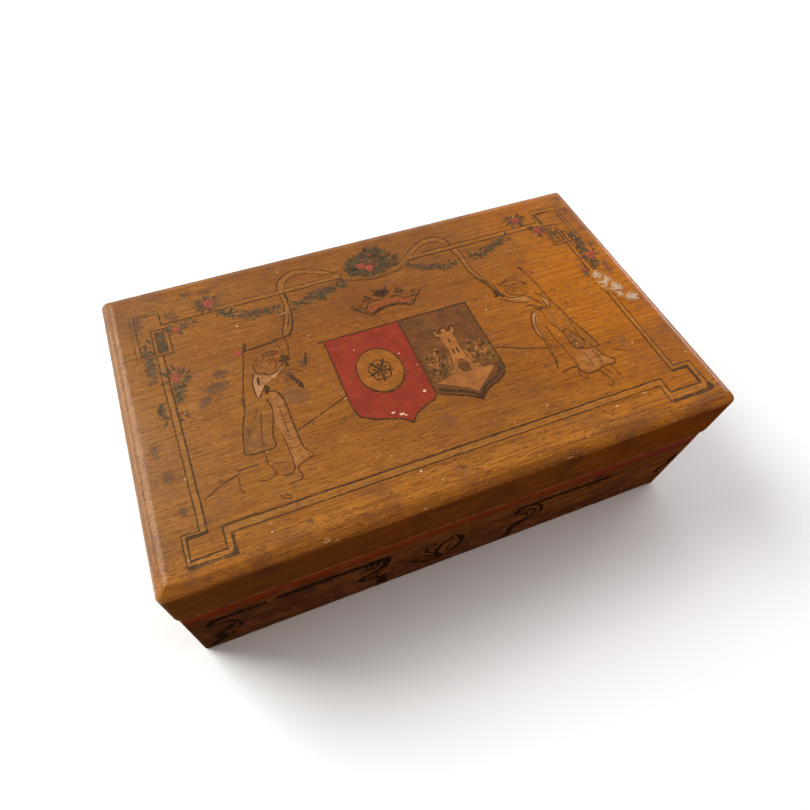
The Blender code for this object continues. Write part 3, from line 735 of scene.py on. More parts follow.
def smooth_trace(points, closed):
    """A Catmull-Rom curve through the points."""
    spots = [Vector(point) for point in points]
    if closed:
        spots = [spots[-1]] + spots + spots[:2]
    else:
        spots = [2 * spots[0] - spots[1]] + spots + [2 * spots[-1] - spots[-2]]
    line = []
    for a, b, c, d in zip(spots, spots[1:], spots[2:], spots[3:]):
        count = max(2, round((c - b).length / STROKE_STEP))
        for step in range(count):
            t = step / count
            line.append(0.5 * (2 * b + (c - a) * t + (2 * a - 5 * b + 4 * c - d) * t**2
                               + (3 * b - a - 3 * c + d) * t**3))
    if not closed:
        line.append(spots[-2])
    return line


def straight_trace(points, closed):
    spots = [Vector(point) for point in points]
    ends = spots[1:] + spots[:1] if closed else spots[1:]
    line = []
    for start, end in zip(spots, ends):
        count = max(1, round((end - start).length / (3 * STROKE_STEP)))
        line += [start.lerp(end, step / count) for step in range(count)]
    if not closed:
        line.append(spots[-1])
    return line


def oval(x, y, radius_x, radius_y, start=0, end=360, count=16):
    """Points along an ellipse. A whole turn leaves out the last, which would repeat the first."""
    whole = abs(end - start) >= 360
    steps = count if whole else count - 1
    angles = [math.radians(start + (end - start) * step / steps) for step in range(count)]
    return [(x + radius_x * math.cos(a), y + radius_y * math.sin(a)) for a in angles]


class Drawing:
    """Strokes, leaves and fills of one colour on one face of the box, in millimetres, as one thin mesh."""

    def __init__(self, face, lift, seed=1):
        self.face = face
        self.lift = lift
        self.random = random.Random(seed)
        self.bm = bmesh.new()
        self.shapes = 0
        self.level = 0.0

    def next_level(self):
        """Each shape lies a hair above or below the others, so that no two faces are in one plane."""
        self.shapes += 1
        self.level = (self.shapes * 17 % 47) * LEVEL_STEP

    def vertex(self, place):
        return self.bm.verts.new(self.face(place[0], place[1], self.level - BURIED))

    def stroke(self, points, width=0.42, closed=False, smooth=True, taper=0.0, wobble=0.14):
        """A pen line of wavering width and course. taper is the share of its length that thins out."""
        self.next_level()
        line = smooth_trace(points, closed) if smooth else straight_trace(points, closed)
        count = len(line)
        seed = self.random.uniform(0, 500)
        sides = []
        for index, place in enumerate(line):
            before = line[index - 1] if closed or index else place
            after = line[(index + 1) % count] if closed or index < count - 1 else place
            ahead = (after - place) if after != place else (place - before)
            behind = (place - before) if before != place else ahead
            across_1 = Vector((-behind.y, behind.x)).normalized()
            across_2 = Vector((-ahead.y, ahead.x)).normalized()
            across = across_1 + across_2
            across = across.normalized() if across.length > 0.1 else across_1
            mitre = 1 / max(0.5, across.dot(across_1))
            waver = noise.noise(Vector((place.x * 0.35, place.y * 0.35, seed)))
            swell = 1 + 0.5 * noise.noise(Vector((place.x * 0.8, place.y * 0.8, seed + 50)))
            half = width / 2 * swell * PEN
            if taper:
                from_end = min(index, count - 1 - index) / max(1, count - 1)
                half *= max(0.2, min(1.0, from_end / taper))
            place = place + across * waver * wobble
            sides.append((self.vertex(place - across * half * mitre),
                          self.vertex(place + across * half * mitre)))
        pairs = list(zip(sides, sides[1:]))
        if closed:
            pairs.append((sides[-1], sides[0]))
        for (a, b), (c, d) in pairs:
            self.bm.faces.new((a, c, d, b))

    def fill(self, points, smooth=True, rough=0.0):
        """A filled outline. rough moves its edge in and out by up to that many millimetres."""
        self.next_level()
        line = smooth_trace(points, True) if smooth else straight_trace(points, True)
        seed = self.random.uniform(0, 500)
        for place in line:
            push = noise.noise_vector(Vector((place.x * 0.9, place.y * 0.9, seed)))
            place += push.xy * rough
        self.bm.faces.new([self.vertex(place) for place in line])

    def leaf(self, x, y, angle, length, width):
        """An almond with its stalk end at x, y."""
        self.next_level()
        turn = math.radians(angle)
        along = Vector((math.cos(turn), math.sin(turn))) * length
        across = Vector((-along.y, along.x)).normalized() * width / 2
        stalk = Vector((x, y))
        sides = [(0.25, 0.75), (0.5, 1.0), (0.78, 0.62)]
        outline = [stalk] + [stalk + along * t + across * w for t, w in sides] + [stalk + along]
        outline += [stalk + along * t - across * w for t, w in reversed(sides)]
        self.bm.faces.new([self.vertex(place) for place in outline])

    def blob(self, x, y, radius_x, radius_y=None, rough=0.12):
        radius_y = radius_y or radius_x
        self.fill(oval(x, y, radius_x, radius_y, count=9), True, rough)

    def place(self, name, material, body):
        """Raises the flat mesh to its thickness and hands it over as a piece."""
        bm = self.bm
        outward = self.face(0, 0, 1) - self.face(0, 0, 0)
        face_outward(bm, outward)
        raised = bmesh.ops.extrude_face_region(bm, geom=list(bm.faces))["geom"]
        verts = [item for item in raised if isinstance(item, bmesh.types.BMVert)]
        bmesh.ops.translate(bm, verts=verts, vec=outward * (self.lift + BURIED))
        bmesh.ops.recalc_face_normals(bm, faces=bm.faces)
        hand_over(mesh_object(name, bm, material), body, "varnished_wood")


SPOT_RINGS, SPOT_SECTORS = 4, 20


def soft_spots(name, lift, spots, material):
    """Round patches (x, y, radius x, radius y, turn) on the lid. Their attribute reach is 1 in the middle
    and falls to 0 at the edge."""
    bm = bmesh.new()
    reach = bm.verts.layers.float.new("reach")
    for x, y, radius_x, radius_y, turn in spots:
        lift += LEVEL_STEP
        cos, sin = math.cos(math.radians(turn)), math.sin(math.radians(turn))
        middle = bm.verts.new(on_lid(x, y, lift))
        middle[reach] = 1.0
        previous = None
        for ring in range(1, SPOT_RINGS + 1):
            share = ring / SPOT_RINGS
            verts = []
            for u, v in oval(0, 0, radius_x * share, radius_y * share, count=SPOT_SECTORS):
                vert = bm.verts.new(on_lid(x + u * cos - v * sin, y + u * sin + v * cos, lift))
                vert[reach] = 1 - share
                verts.append(vert)
            for index in range(SPOT_SECTORS):
                other = (index + 1) % SPOT_SECTORS
                if previous:
                    bm.faces.new((previous[index], verts[index], verts[other], previous[other]))
                else:
                    bm.faces.new((middle, verts[index], verts[other]))
            previous = verts
    face_outward(bm, on_lid(0, 0, 1) - on_lid(0, 0, 0))
    hand_over(mesh_object(name, bm, material), "lid", "varnished_wood")


# ---------------------------------------------------------------- paints


def paint(name, colour, dark=None, worn=0.36, strength=0.92, flake=420):
    """Old paint or ink over the wood, thin along the grain and flaked. Higher worn shows more wood."""
    make = Material(name)
    wood, _, relief = add_wood(make)
    place = make.place()
    patch = make.noise(place, flake, 4, 0.7, 0.3)
    grain = make.noise(make.stretch(place, (160, 2300, 2300), (2, 5, 1)), 1.0, 2, 0.6)
    cover = make.times(make.step(patch, worn - 0.07, worn + 0.07), make.step(grain, 0.22, 0.42))
    shade = make.mix(make.step(make.noise(place, 190, 4, 0.65), 0.35, 0.65), colour, dark or colour)
    over_wood = make.lay(wood, shade, cover, strength)
    rough = make.line(patch, 0.15, 0.39)
    depth = make.plus(relief, make.times(cover, 0.5))
    coat = {"Coat Weight": 0.07, "Coat Roughness": 0.18, **WARM_SHINE}
    return make.surface(over_wood, rough, depth, WOOD_RELIEF, coat)


def soft_paint(name, colour, strength, scale, low=0.42, high=0.72, ragged=1.5):
    """A stain over the wood that fades out with the attribute reach, broken up by noise."""
    make = Material(name)
    wood, rough, relief = add_wood(make)
    reach = make.attribute("reach")
    broken = make.noise(make.place(), scale, 5, 0.68, 0.4)
    spread = make.line(make.plus(broken, -0.5), ragged, make.times(reach, 1.25))
    cover = make.times(make.step(spread, low, high), make.step(reach, 0.0, 0.12))
    stained = make.lay(wood, colour, cover, strength)
    return make.surface(stained, rough, relief, WOOD_RELIEF, VARNISH)


LOW, MIDDLE, HIGH = 0.03, 0.06, 0.09  # lifts of the layers of paint, in millimetres

INK = paint("ink", (0.013, 0.009, 0.006), (0.036, 0.020, 0.009), worn=0.37, strength=0.88, flake=900)
FAINT_INK = paint("faint_ink", (0.030, 0.018, 0.009), (0.06, 0.03, 0.012), worn=0.43, strength=0.72,
                  flake=900)
SEPIA = paint("sepia", (0.060, 0.020, 0.009), (0.110, 0.034, 0.012), worn=0.32, strength=0.90, flake=900)
LEAF_INK = paint("leaf_ink", (0.016, 0.017, 0.012), (0.034, 0.036, 0.022), worn=0.36, strength=0.85)
LEAF_GREEN = paint("leaf_green", (0.065, 0.062, 0.028), (0.040, 0.040, 0.025), worn=0.40, strength=0.8)
ROSE = paint("rose", (0.30, 0.042, 0.034), (0.17, 0.028, 0.026), worn=0.38, strength=0.80)
PALE = paint("pale_pink", (0.44, 0.24, 0.115), (0.30, 0.13, 0.055), worn=0.45, strength=0.62)
PINK = paint("rose_light", (0.44, 0.11, 0.07), (0.34, 0.07, 0.05), worn=0.42, strength=0.6)
RAIL = paint("rail_ochre", (0.46, 0.225, 0.045), (0.34, 0.150, 0.022), worn=0.43, strength=0.17)


# ---------------------------------------------------------------- artwork on the lid


def draw_border():
    """A double line round the lid with a stepped key in each corner."""
    ink = Drawing(on_lid, LOW, 11)
    faint = Drawing(on_lid, LOW, 12)

    def ruled(points, width=0.42, pen=ink):
        pen.stroke(points, width, smooth=False, wobble=0.22)

    # Back left key and the rail along the back
    ruled([(-92.7, 27.6), (-100, 27.6), (-100, 51.2), (-85.9, 51.2), (-85.9, 45.1), (-36, 45.4)],
          0.36, faint)
    ruled([(-36, 45.4), (-14, 45.5)], 0.3, faint)
    ruled([(28, 46.2), (86.2, 46.4), (86.2, 53.6), (99.9, 53.6), (99.9, 30.5), (94.3, 30.5)], 0.36)
    ruled([(-93.0, 29.2), (-98.2, 29.2), (-98.2, 49.9), (-88.2, 49.9), (-88.2, 43.1), (-12, 43.3)], 0.42)
    ruled([(20, 43.6), (88.0, 43.9), (87.6, 51.6), (98.5, 51.6), (98.4, 32.6), (94.6, 32.6)], 0.42)
    ruled([(87.9, 44.2), (87.6, 51.4), (94, 51.7)], 0.95)
    ruled([(-92.9, 27.6), (-92.9, 41.0), (-86.1, 41.0), (-86.1, 27.6), (-92.2, 27.6)], 0.42)
    ruled([(-91.4, 29.3), (-91.4, 39.4), (-88.0, 39.4), (-88.0, 29.2), (-91.4, 29.2)], 0.42)
    ruled([(-90.7, 38.7), (-90.7, 29.6)], 1.0, faint)
    ruled([(93.8, 30.5), (86.5, 30.5), (86.5, 42.6), (93.8, 42.6), (93.8, 30.5)], 0.42)
    ruled([(92.5, 31.8), (87.8, 31.8), (87.8, 40.7), (92.5, 40.7), (92.5, 31.8)], 0.55)

    # Sides
    ruled([(-92.7, 27.6), (-92.4, -10), (-92.3, -47.6), (-98.4, -47.4), (-98.4, -58.8), (-82.5, -58.8),
           (-82.5, -51.6), (0, -51.3), (83.3, -51.0), (83.3, -58.7), (101.7, -58.7), (101.7, -44.7),
           (94.3, -44.7), (94.2, 30.5)], 0.38)
    ruled([(-90.2, 27.6), (-90.0, -10), (-89.9, -48.9), (-96.9, -48.9), (-96.9, -56.6), (-85.1, -56.4),
           (-85.1, -48.5), (0, -48.5), (85.7, -48.2), (85.7, -54.9), (99.3, -54.9), (99.3, -46.8),
           (92.3, -46.8), (92.2, 30.5)], 0.55)
    for heavy in ([(-96.9, -48.9), (-89.9, -48.9)], [(-98.2, -58.8), (-82.7, -58.8), (-82.5, -51.9)],
                  [(92.5, -46.8), (99.3, -46.8), (99.3, -54.7)], [(84.0, -58.7), (101.2, -58.7)]):
        ruled(heavy, 1.05)
    ink.blob(101.9, -57.4, 1.2, 1.5, 0.5)
    ink.blob(-82.9, -57.9, 1.0, 1.2, 0.5)

    # Dark panes in the two back keys
    panes = Drawing(on_lid, LOW, 13)
    panes.fill([(-90.9, 38.9), (-88.3, 38.9), (-88.3, 29.6), (-90.9, 29.6)], smooth=False, rough=0.25)
    for angle, length in ((100, 5.0), (60, 4.0), (130, 4.2), (-80, 3.6)):
        panes.leaf(90, 35.8, angle, length, 1.5)
    panes.place("art_border_panes", LEAF_INK, "lid")
    ink.place("art_border", INK, "lid")
    faint.place("art_border_faint", FAINT_INK, "lid")


def draw_washes():
    """The lighter ochre between the two lines of the rail, and on the ribbon."""
    wash = Drawing(on_lid, LOW * 0.4, 15)
    wash.stroke([(-99.1, 29.2), (-99.1, 50.5), (-87.0, 50.5), (-87.0, 44.2), (-14, 44.4)], 1.2,
                smooth=False)
    wash.stroke([(20, 44.9), (86.9, 45.2), (86.9, 52.6), (99.2, 52.6), (99.2, 31.5), (94, 31.5)], 1.3,
                smooth=False)
    wash.stroke([(-91.4, 27.6), (-91.2, -10), (-91.1, -48.3), (-97.7, -48.3), (-97.7, -57.7),
                 (-83.8, -57.6), (-83.8, -50.0), (0, -49.9), (84.5, -49.6), (84.5, -56.8), (100.5, -56.8),
                 (100.5, -45.8), (93.3, -45.8), (93.2, 30.5)], 1.7, smooth=False)
    wash.stroke([(-37.6, 44.4), (-35.6, 49.8), (-30.5, 52.8), (-24.2, 52.2), (-18.2, 49.3), (-11, 44.6),
                 (-4.5, 41.4), (1, 40.4), (7, 40.4), (13, 42), (20, 46.6), (26.5, 50.4), (32, 52.2),
                 (37.4, 51.6), (40, 48.4)], 2.1)
    wash.stroke([(-37.9, 42.9), (-37.9, 36), (-39.2, 29.5), (-41.2, 24.3), (-42.6, 21.2)], 1.5)
    wash.stroke([(42, 43.2), (43, 38), (43.1, 30), (44.3, 24), (47.1, 17.6), (48.2, 13.4)], 1.6)
    wash.place("art_rail_wash", RAIL, "lid")


def draw_ribbon():
    """A ribbon looped over the back rail, its ends held by the two figures."""
    ink = Drawing(on_lid, LOW, 21)
    # Upper and lower edge of the band between the loops
    ink.stroke([(-39.5, 45.4), (-37.5, 50.3), (-31.5, 54.3), (-24.5, 53.8), (-17.5, 50.4), (-9.5, 44.8)],
               0.36)
    ink.stroke([(-36.2, 45.4), (-34.2, 49.4), (-29.5, 51.6), (-24, 50.8), (-19, 48.5), (-13.2, 46.2)], 0.30)
    ink.stroke([(-14, 43.2), (-7.4, 40.6), (-0.8, 38.6), (6, 38.1), (12.5, 39.3), (17.2, 41.8)], 0.42)
    ink.stroke([(-16.5, 48.6), (-10.5, 44.7), (-4, 42.3)], 0.28, taper=0.4)
    ink.stroke([(15.5, 43.6), (20.5, 47.4), (25.8, 51.2), (32, 53.6), (37.5, 53.2), (41.6, 49.5),
                (41.4, 46.2)], 0.36)
    ink.stroke([(24.5, 47.2), (28.5, 49.6), (33, 50.7), (37.2, 50.2), (39.3, 47.6)], 0.28)
    ink.stroke([(29.5, 48.5), (34.5, 48.4)], 0.25, taper=0.4)
    # Hanging ends
    ink.stroke([(-38.9, 42.9), (-38.8, 37.3), (-40.5, 31), (-42.8, 24.7), (-43.8, 21.4)], 0.36)
    ink.stroke([(-37.0, 42.9), (-36.9, 35.2), (-37.6, 28.9), (-39.2, 23.8), (-41.2, 20.8)], 0.50)
    ink.stroke([(-38.2, 33.0), (-39.6, 27.4), (-41.6, 23.4)], 0.40, taper=0.3)
    ink.stroke([(-39.4, 21.0), (-51, 19.4), (-61.5, 18.6)], 0.75, taper=0.12)
    ink.stroke([(-43.4, 20.4), (-43.6, 15), (-44.6, 10.2)], 0.32)
    ink.stroke([(40.2, 43.2), (41.7, 38.4), (42.1, 30), (42.7, 24.7), (45.7, 18.5), (47.4, 13.7)], 0.42)
    ink.stroke([(43.8, 43.2), (44.2, 37.3), (44.1, 30), (45.9, 23.2), (48.3, 16.9), (48.9, 12.9)], 0.38)
    ink.stroke([(42.6, 28.5), (43.6, 24.4), (45.9, 19.8), (47.6, 15.6)], 0.45, taper=0.25)
    ink.place("art_ribbon", INK, "lid")
    tip = Drawing(on_lid, MIDDLE, 22)
    tip.blob(-62.6, 18.7, 1.9, 1.1, 0.35)
    tip.blob(67.6, 18.4, 1.2, 1.0, 0.35)
    tip.place("art_ribbon_tips", ROSE, "lid")


def garland(path, dark, green, reach, spread, every=0.75):
    """Small leaves scattered along a path and leaning along it."""
    line = smooth_trace(path, False)
    step = max(1, round(every / STROKE_STEP))
    for index in range(0, len(line) - 1, step):
        place = line[index]
        ahead = line[index + 1] - place
        lean = math.degrees(math.atan2(ahead.y, ahead.x))
        for pen, chance in ((dark, 0.85), (green, 0.9)):
            if pen.random.random() > chance:
                continue
            side = pen.random.choice((-1, 1))
            angle = lean + side * pen.random.uniform(12, 75)
            across = pen.random.uniform(-spread, spread)
            length = reach * pen.random.uniform(0.55, 1.15)
            pen.leaf(place.x, place.y + across, angle, length, length * pen.random.uniform(0.28, 0.48))


def tuft(x, y, radius, count, dark, green, low=0, high=360, slim=1.0):
    """Leaves that radiate from a place."""
    for pen in (dark, green):
        for _ in range(count):
            angle = pen.random.uniform(low, high)
            start = pen.random.uniform(0.15, 0.55) * radius
            turn = math.radians(angle)
            length = radius * pen.random.uniform(0.35, 0.75)
            lean = angle + pen.random.uniform(-35, 35)
            width = length * pen.random.uniform(0.22, 0.42) * slim
            pen.leaf(x + start * math.cos(turn), y + start * math.sin(turn), lean, length, width)


def rose(pen, highlight, x, y, radius):
    """A round flower head, with a lighter curl of petals on it."""
    pen.blob(x, y, radius, radius * 0.9, radius * 0.22)
    for turn in (20, 140, 260):
        angle = math.radians(turn)
        petal_x, petal_y = x + radius * 0.75 * math.cos(angle), y + radius * 0.75 * math.sin(angle)
        pen.blob(petal_x, petal_y, radius * 0.55, None, radius * 0.18)
    highlight.stroke(oval(x, y, radius * 0.5, radius * 0.45, 30, 260, 7), radius * 0.16, taper=0.3)


def draw_flowers():
    """Garlands under the back rail, a bouquet in the middle and roses in the corners."""
    dark = Drawing(on_lid, MIDDLE, 31)
    green = Drawing(on_lid, LOW, 32)
    red = Drawing(on_lid, HIGH, 33)
    light = Drawing(on_lid, HIGH + 0.02, 34)

    garland([(-66, 42.0), (-61, 39.4), (-56, 37.2)], dark, green, 2.8, 1.0, 0.5)
    garland([(-56, 37.2), (-50, 35.9), (-41, 35.8)], dark, green, 2.6, 1.2, 0.5)
    garland([(-36.5, 35.0), (-30, 36.2), (-22, 37.4), (-15, 39.4), (-10.5, 41)], dark, green, 3.0, 2.0,
            0.35)
    garland([(17.5, 41.5), (21, 39.2), (27, 36.4), (33, 35.2), (39.5, 35.9)], dark, green, 2.8, 1.3, 0.5)
    garland([(46, 35.8), (51, 37.0), (57, 38.2), (62, 39.6), (69, 41.8)], dark, green, 3.0, 1.6, 0.42)
    dark.stroke([(-36.6, 42.5), (-35.8, 38), (-32, 35.4)], 0.35)
    for x, y in ((-57.6, 36.3), (-48.3, 37.0), (-28, 38.4), (-24.5, 39.6), (54.6, 38.6), (27, 38)):
        red.blob(x, y, 0.7, 0.6, 0.3)

    tuft(3.4, 47.4, 9.0, 80, dark, green, slim=0.55)
    tuft(6.5, 49.0, 7.6, 50, dark, green, 40, 120, slim=0.5)
    tuft(-1.5, 47.0, 6.6, 30, dark, green, 90, 250, slim=0.6)
    tuft(11.0, 47.2, 6.2, 34, dark, green, slim=0.6)
    tuft(-4.2, 47.0, 4.6, 26, dark, green, slim=0.7)
    rose(red, light, -1.1, 47.4, 1.8)
    rose(red, light, 2.2, 45.0, 1.8)
    for x, y in ((4.6, 48.6), (6.4, 46.2), (1.0, 50.4), (4.8, 52.5)):
        red.blob(x, y, 0.8, 0.7, 0.3)

    # Roses: x, y, radius of the flower, radius of its leaves, number of leaves
    corners = [(-68.0, 48.3, 2.3, 5.6, 10), (-83.0, 38.6, 1.6, 4.6, 9), (-87.6, 15.4, 2.0, 6.4, 9),
               (77.2, 50.9, 1.9, 5.8, 12), (84.0, 41.6, 1.6, 4.6, 9), (97.9, 19.6, 2.2, 5.0, 10)]
    for x, y, flower, leaves, count in corners:
        rose(red, light, x, y, flower)
        tuft(x, y, leaves, count, dark, green)
    tuft(-77.6, 40.6, 3.0, 7, dark, green)

    # Climbing leaves along the sides
    garland([(-95.2, 37), (-95.6, 30), (-96.1, 23), (-95.3, 15.8)], dark, green, 3.2, 1.2, 1.1)
    garland([(-89.0, 12.5), (-87.2, 8), (-88.6, 3.8)], dark, green, 3.2, 0.8, 1.0)
    garland([(-94.6, 5.2), (-95.4, -1)], dark, green, 2.6, 0.8, 1.0)
    dark.stroke([(-95.6, -0.5), (-94.4, -3.6), (-96.4, -5.8)], 0.4, taper=0.4)
    garland([(96.2, 38.5), (97.4, 31), (96.6, 24.5), (96.9, 16), (95.9, 9)], dark, green, 3.6, 1.5, 0.8)
    garland([(91.0, 14.5), (89.4, 8.8)], dark, green, 2.6, 0.8, 1.2)
    red.blob(90.4, 12.4, 1.0, 1.2, 0.5)
    tuft(-88.2, -2.4, 2.6, 5, dark, green)

    green.place("art_leaves_green", LEAF_GREEN, "lid")
    dark.place("art_leaves_dark", LEAF_INK, "lid")
    red.place("art_roses", ROSE, "lid")
    light.place("art_rose_lights", PINK, "lid")


def draw_crown():
    """An open crown with a leafy finial between two trefoils."""
    band = Drawing(on_lid, LOW, 41)
    upper = [(-7.8, 22.6), (-2.7, 24.9), (2.4, 25.6), (8.0, 24.9), (12.6, 22.6)]
    lower = [(10.4, 20.2), (6.2, 21.9), (2.4, 22.3), (-1.6, 21.9), (-5.8, 20.2)]
    band.fill(upper + lower, smooth=False, rough=0.2)
    band.place("art_crown_band", paint("crown_red", (0.27, 0.048, 0.020), None, 0.46, 0.62), "lid")
    ink = Drawing(on_lid, MIDDLE, 42)
    ink.stroke([(-13.1, 25.6), (-9.8, 22.4), (-6.3, 18.9)], 0.62)
    ink.stroke([(-6.3, 18.9), (-2.5, 20.9), (2.4, 21.6), (7.4, 20.9), (11.2, 18.9)], 0.66)
    ink.stroke([(11.2, 18.9), (14.4, 22.2), (18.0, 25.9)], 0.62)
    ink.stroke([(-5.6, 20.2), (-1.6, 22.0), (2.4, 22.5), (6.4, 22.0), (10.4, 20.2)], 0.28)
    ink.stroke([(-5.8, 20.0), (-8.2, 22.6)], 0.28)
    ink.stroke([(10.6, 20.0), (13.0, 22.6)], 0.28)
    ink.stroke([(-8.9, 22.9), (-6.8, 24.0), (-5.4, 25.9), (-2.6, 26.3), (0.3, 26.2)], 0.34)
    ink.stroke([(4.4, 26.2), (7.2, 26.0), (9.4, 24.0), (13.6, 23.7), (15.6, 24.2)], 0.34)
    for step in range(6):
        x = -5 + step * 2.9
        ink.stroke([(x, 23.2 - abs(x - 2.4) * 0.12), (x + 0.4, 24.2 - abs(x - 2.4) * 0.12)], 0.35,
                   taper=0.4)
    for x, y in ((-12.2, 25.6), (-9.6, 25.0), (14.6, 26.0)):
        ink.stroke(oval(x, y, 0.85, 0.75, count=8), 0.3, closed=True)
    for side, centre_x in ((-1, -5.4), (1, 9.0)):
        for x, y in ((0, 1.4), (-1.2, -0.2), (1.3, -0.3)):
            ink.blob(centre_x + x * side, 28.2 + y, 0.8, 0.75, 0.2)
        ink.stroke([(centre_x, 29.2), (centre_x, 26.4)], 0.3)
    for angle in range(30, 151, 20):
        ink.leaf(1.6, 27.6, angle, 4.6, 1.5)
    ink.blob(1.6, 29.0, 1.9, 1.6, 0.4)
    ink.stroke([(0.4, 30.8), (-1.3, 31.7), (-1.5, 33.6)], 0.42, taper=0.35)
    ink.stroke([(2.8, 30.8), (4.4, 31.6), (4.7, 33.3)], 0.42, taper=0.35)
    ink.stroke([(1.6, 28), (1.4, 26.3)], 0.4)
    ink.place("art_crown", INK, "lid")


def draw_shields():
    """A red shield with a gold disc, and beside it a brown one with a tower among branches."""
    left, middle, right, top = -29.7, 2.1, 32.4, 12.6
    red_foot = [(left, -21.4), (-28.3, -25.0), (-23.7, -27.8), (-18.3, -29.4), (-13.9, -31.0),
                (-10.9, -33.7), (-8.3, -30.7), (-4.1, -28.6), (0.3, -27.2), (middle, -25.4)]
    brown_foot = [(middle, -25.2), (9.0, -28.3), (14.2, -30.6), (17.4, -33.1), (20.4, -30.6), (23.6, -28.7),
                  (28.0, -27.3), (31.1, -25.0), (right, -21.4)]
    red = Drawing(on_lid, LOW, 51)
    red.fill([(left, top)] + red_foot + [(middle, top)], smooth=False, rough=0.12)
    red.place("art_shield_red",
              paint("shield_red", (0.240, 0.024, 0.013), (0.185, 0.018, 0.011), 0.26, 0.95, 700), "lid")
    brown = Drawing(on_lid, LOW, 52)
    brown.fill([(middle, top)] + brown_foot + [(right, top)], smooth=False, rough=0.12)
    brown_paint = paint("shield_brown", (0.125, 0.046, 0.014), (0.068, 0.028, 0.012), 0.34, 0.82, 420)
    brown.place("art_shield_brown", brown_paint, "lid")

    gold = Drawing(on_lid, MIDDLE, 53)
    gold.fill(oval(-13.6, -7.7, 9.0, 10.5, count=28), True, 0.1)
    gold_paint = paint("disc_gold", (0.300, 0.100, 0.012), (0.200, 0.064, 0.010), 0.32, 0.80, 520)
    gold.place("art_disc", gold_paint, "lid")

    tower = Drawing(on_lid, MIDDLE, 54)
    low, arch_low, arch_top = -19.6, -19.6, -13.6
    walls = [(12.9, 2.8), (12.9, 0.0), (14.6, -1.2), (15.2, -9.0), (14.6, -12.4), (12.6, low), (15.8, low),
             (15.9, arch_low + 3.2), (17.7, arch_top), (19.5, arch_low + 3.2), (19.6, low), (22.6, low),
             (20.6, -12.4), (20.0, -9.0), (20.4, -1.2), (22.0, 0.0), (22.0, 2.8), (20.4, 2.8), (20.4, 1.0),
             (18.7, 1.0), (18.7, 2.8), (16.3, 2.8), (16.3, 1.0), (14.5, 1.0), (14.5, 2.8)]
    tower.fill(walls, smooth=False, rough=0.12)
    ground = [(4.3, -21.2), (9.5, -19.8), (22.6, -19.8), (28.7, -20.7), (25.3, -23.9), (21.4, -26.5),
              (17.6, -29.7), (14.6, -26.7), (10.1, -24.3)]
    tower.fill(ground, smooth=False, rough=0.5)
    for side in (-1, 1):
        for x, y, turn, length in ((5.4, -16.0, 100, 6.5), (7.5, -12.5, 60, 5.5), (9.6, -9.0, 120, 4.5),
                                   (12.2, -14.0, 150, 4.0), (7.4, -18.6, 165, 5.0), (10.5, -13.5, 30, 4.0)):
            angle = turn if side > 0 else 180 - turn
            tower.leaf(17.6 + side * (x - 0.6), y, angle, length, 1.15)
            tower.leaf(17.6 + side * x, y - 1.8, angle + side * 70, length * 0.6, 0.95)
    thicket = Drawing(on_lid, LOW * 1.6, 57)
    for side in (-1, 1):
        for _ in range(60):
            away = thicket.random.uniform(3.6, 13.4)
            y = thicket.random.uniform(-20.5, -7.0 - abs(away - 9.5) * 0.7)
            thicket.leaf(17.6 + side * away, y, thicket.random.uniform(15, 165),
                         thicket.random.uniform(1.6, 3.6), 0.75)
    thicket_paint = paint("thicket", (0.180, 0.088, 0.022), (0.100, 0.056, 0.018), 0.42, 0.80, 700)
    thicket.place("art_thicket", thicket_paint, "lid")
    tower_paint = paint("tower", (0.36, 0.140, 0.036), (0.24, 0.085, 0.026), 0.40, 0.74, 800)
    tower.place("art_tower", tower_paint, "lid")

    ink = Drawing(on_lid, HIGH, 55)
    ink.stroke([(-32.0, 12.7), (1, 12.7), (right + 0.4, 12.8)], 0.42, smooth=False)
    ink.stroke([(left, top), (left, -21.4)], 0.42, smooth=False)
    ink.stroke(red_foot, 0.52, smooth=False)
    ink.stroke([(middle, top), (middle, -25.3)], 0.52, smooth=False)
    ink.stroke([(right, top), (right, -21.4)], 0.48, smooth=False)
    ink.stroke(brown_foot, 0.60, smooth=False)
    inner = [(x + (17.4 - x) * 0.09, y + 1.6) for x, y in brown_foot]
    ink.stroke(inner, 1.1, smooth=False, wobble=0.5)
    ink.stroke(oval(-13.6, -7.7, 9.0, 10.5, count=28), 0.42, closed=True)
    ink.stroke(oval(-13.6, -7.7, 9.0, 10.5, 200, 345, 14), 0.75, taper=0.2)
    # A rosette of five petals on the disc
    for petal in range(5):
        angle = math.radians(90 + petal * 72)
        x, y = -13.6 + 2.6 * math.cos(angle), -7.7 + 2.9 * math.sin(angle)
        ink.stroke(oval(x, y, 1.9, 2.1, count=10), 0.45, closed=True)
        ink.leaf(-13.6 + 1.2 * math.cos(angle), -7.7 + 1.3 * math.sin(angle), 90 + petal * 72, 2.4, 0.9)
        sepal = 126 + petal * 72
        turn = math.radians(sepal)
        ink.leaf(-13.6 + 3.2 * math.cos(turn), -7.7 + 3.6 * math.sin(turn), sepal, 2.2, 1.0)
    ink.blob(-13.6, -7.7, 1.0, 1.1, 0.15)
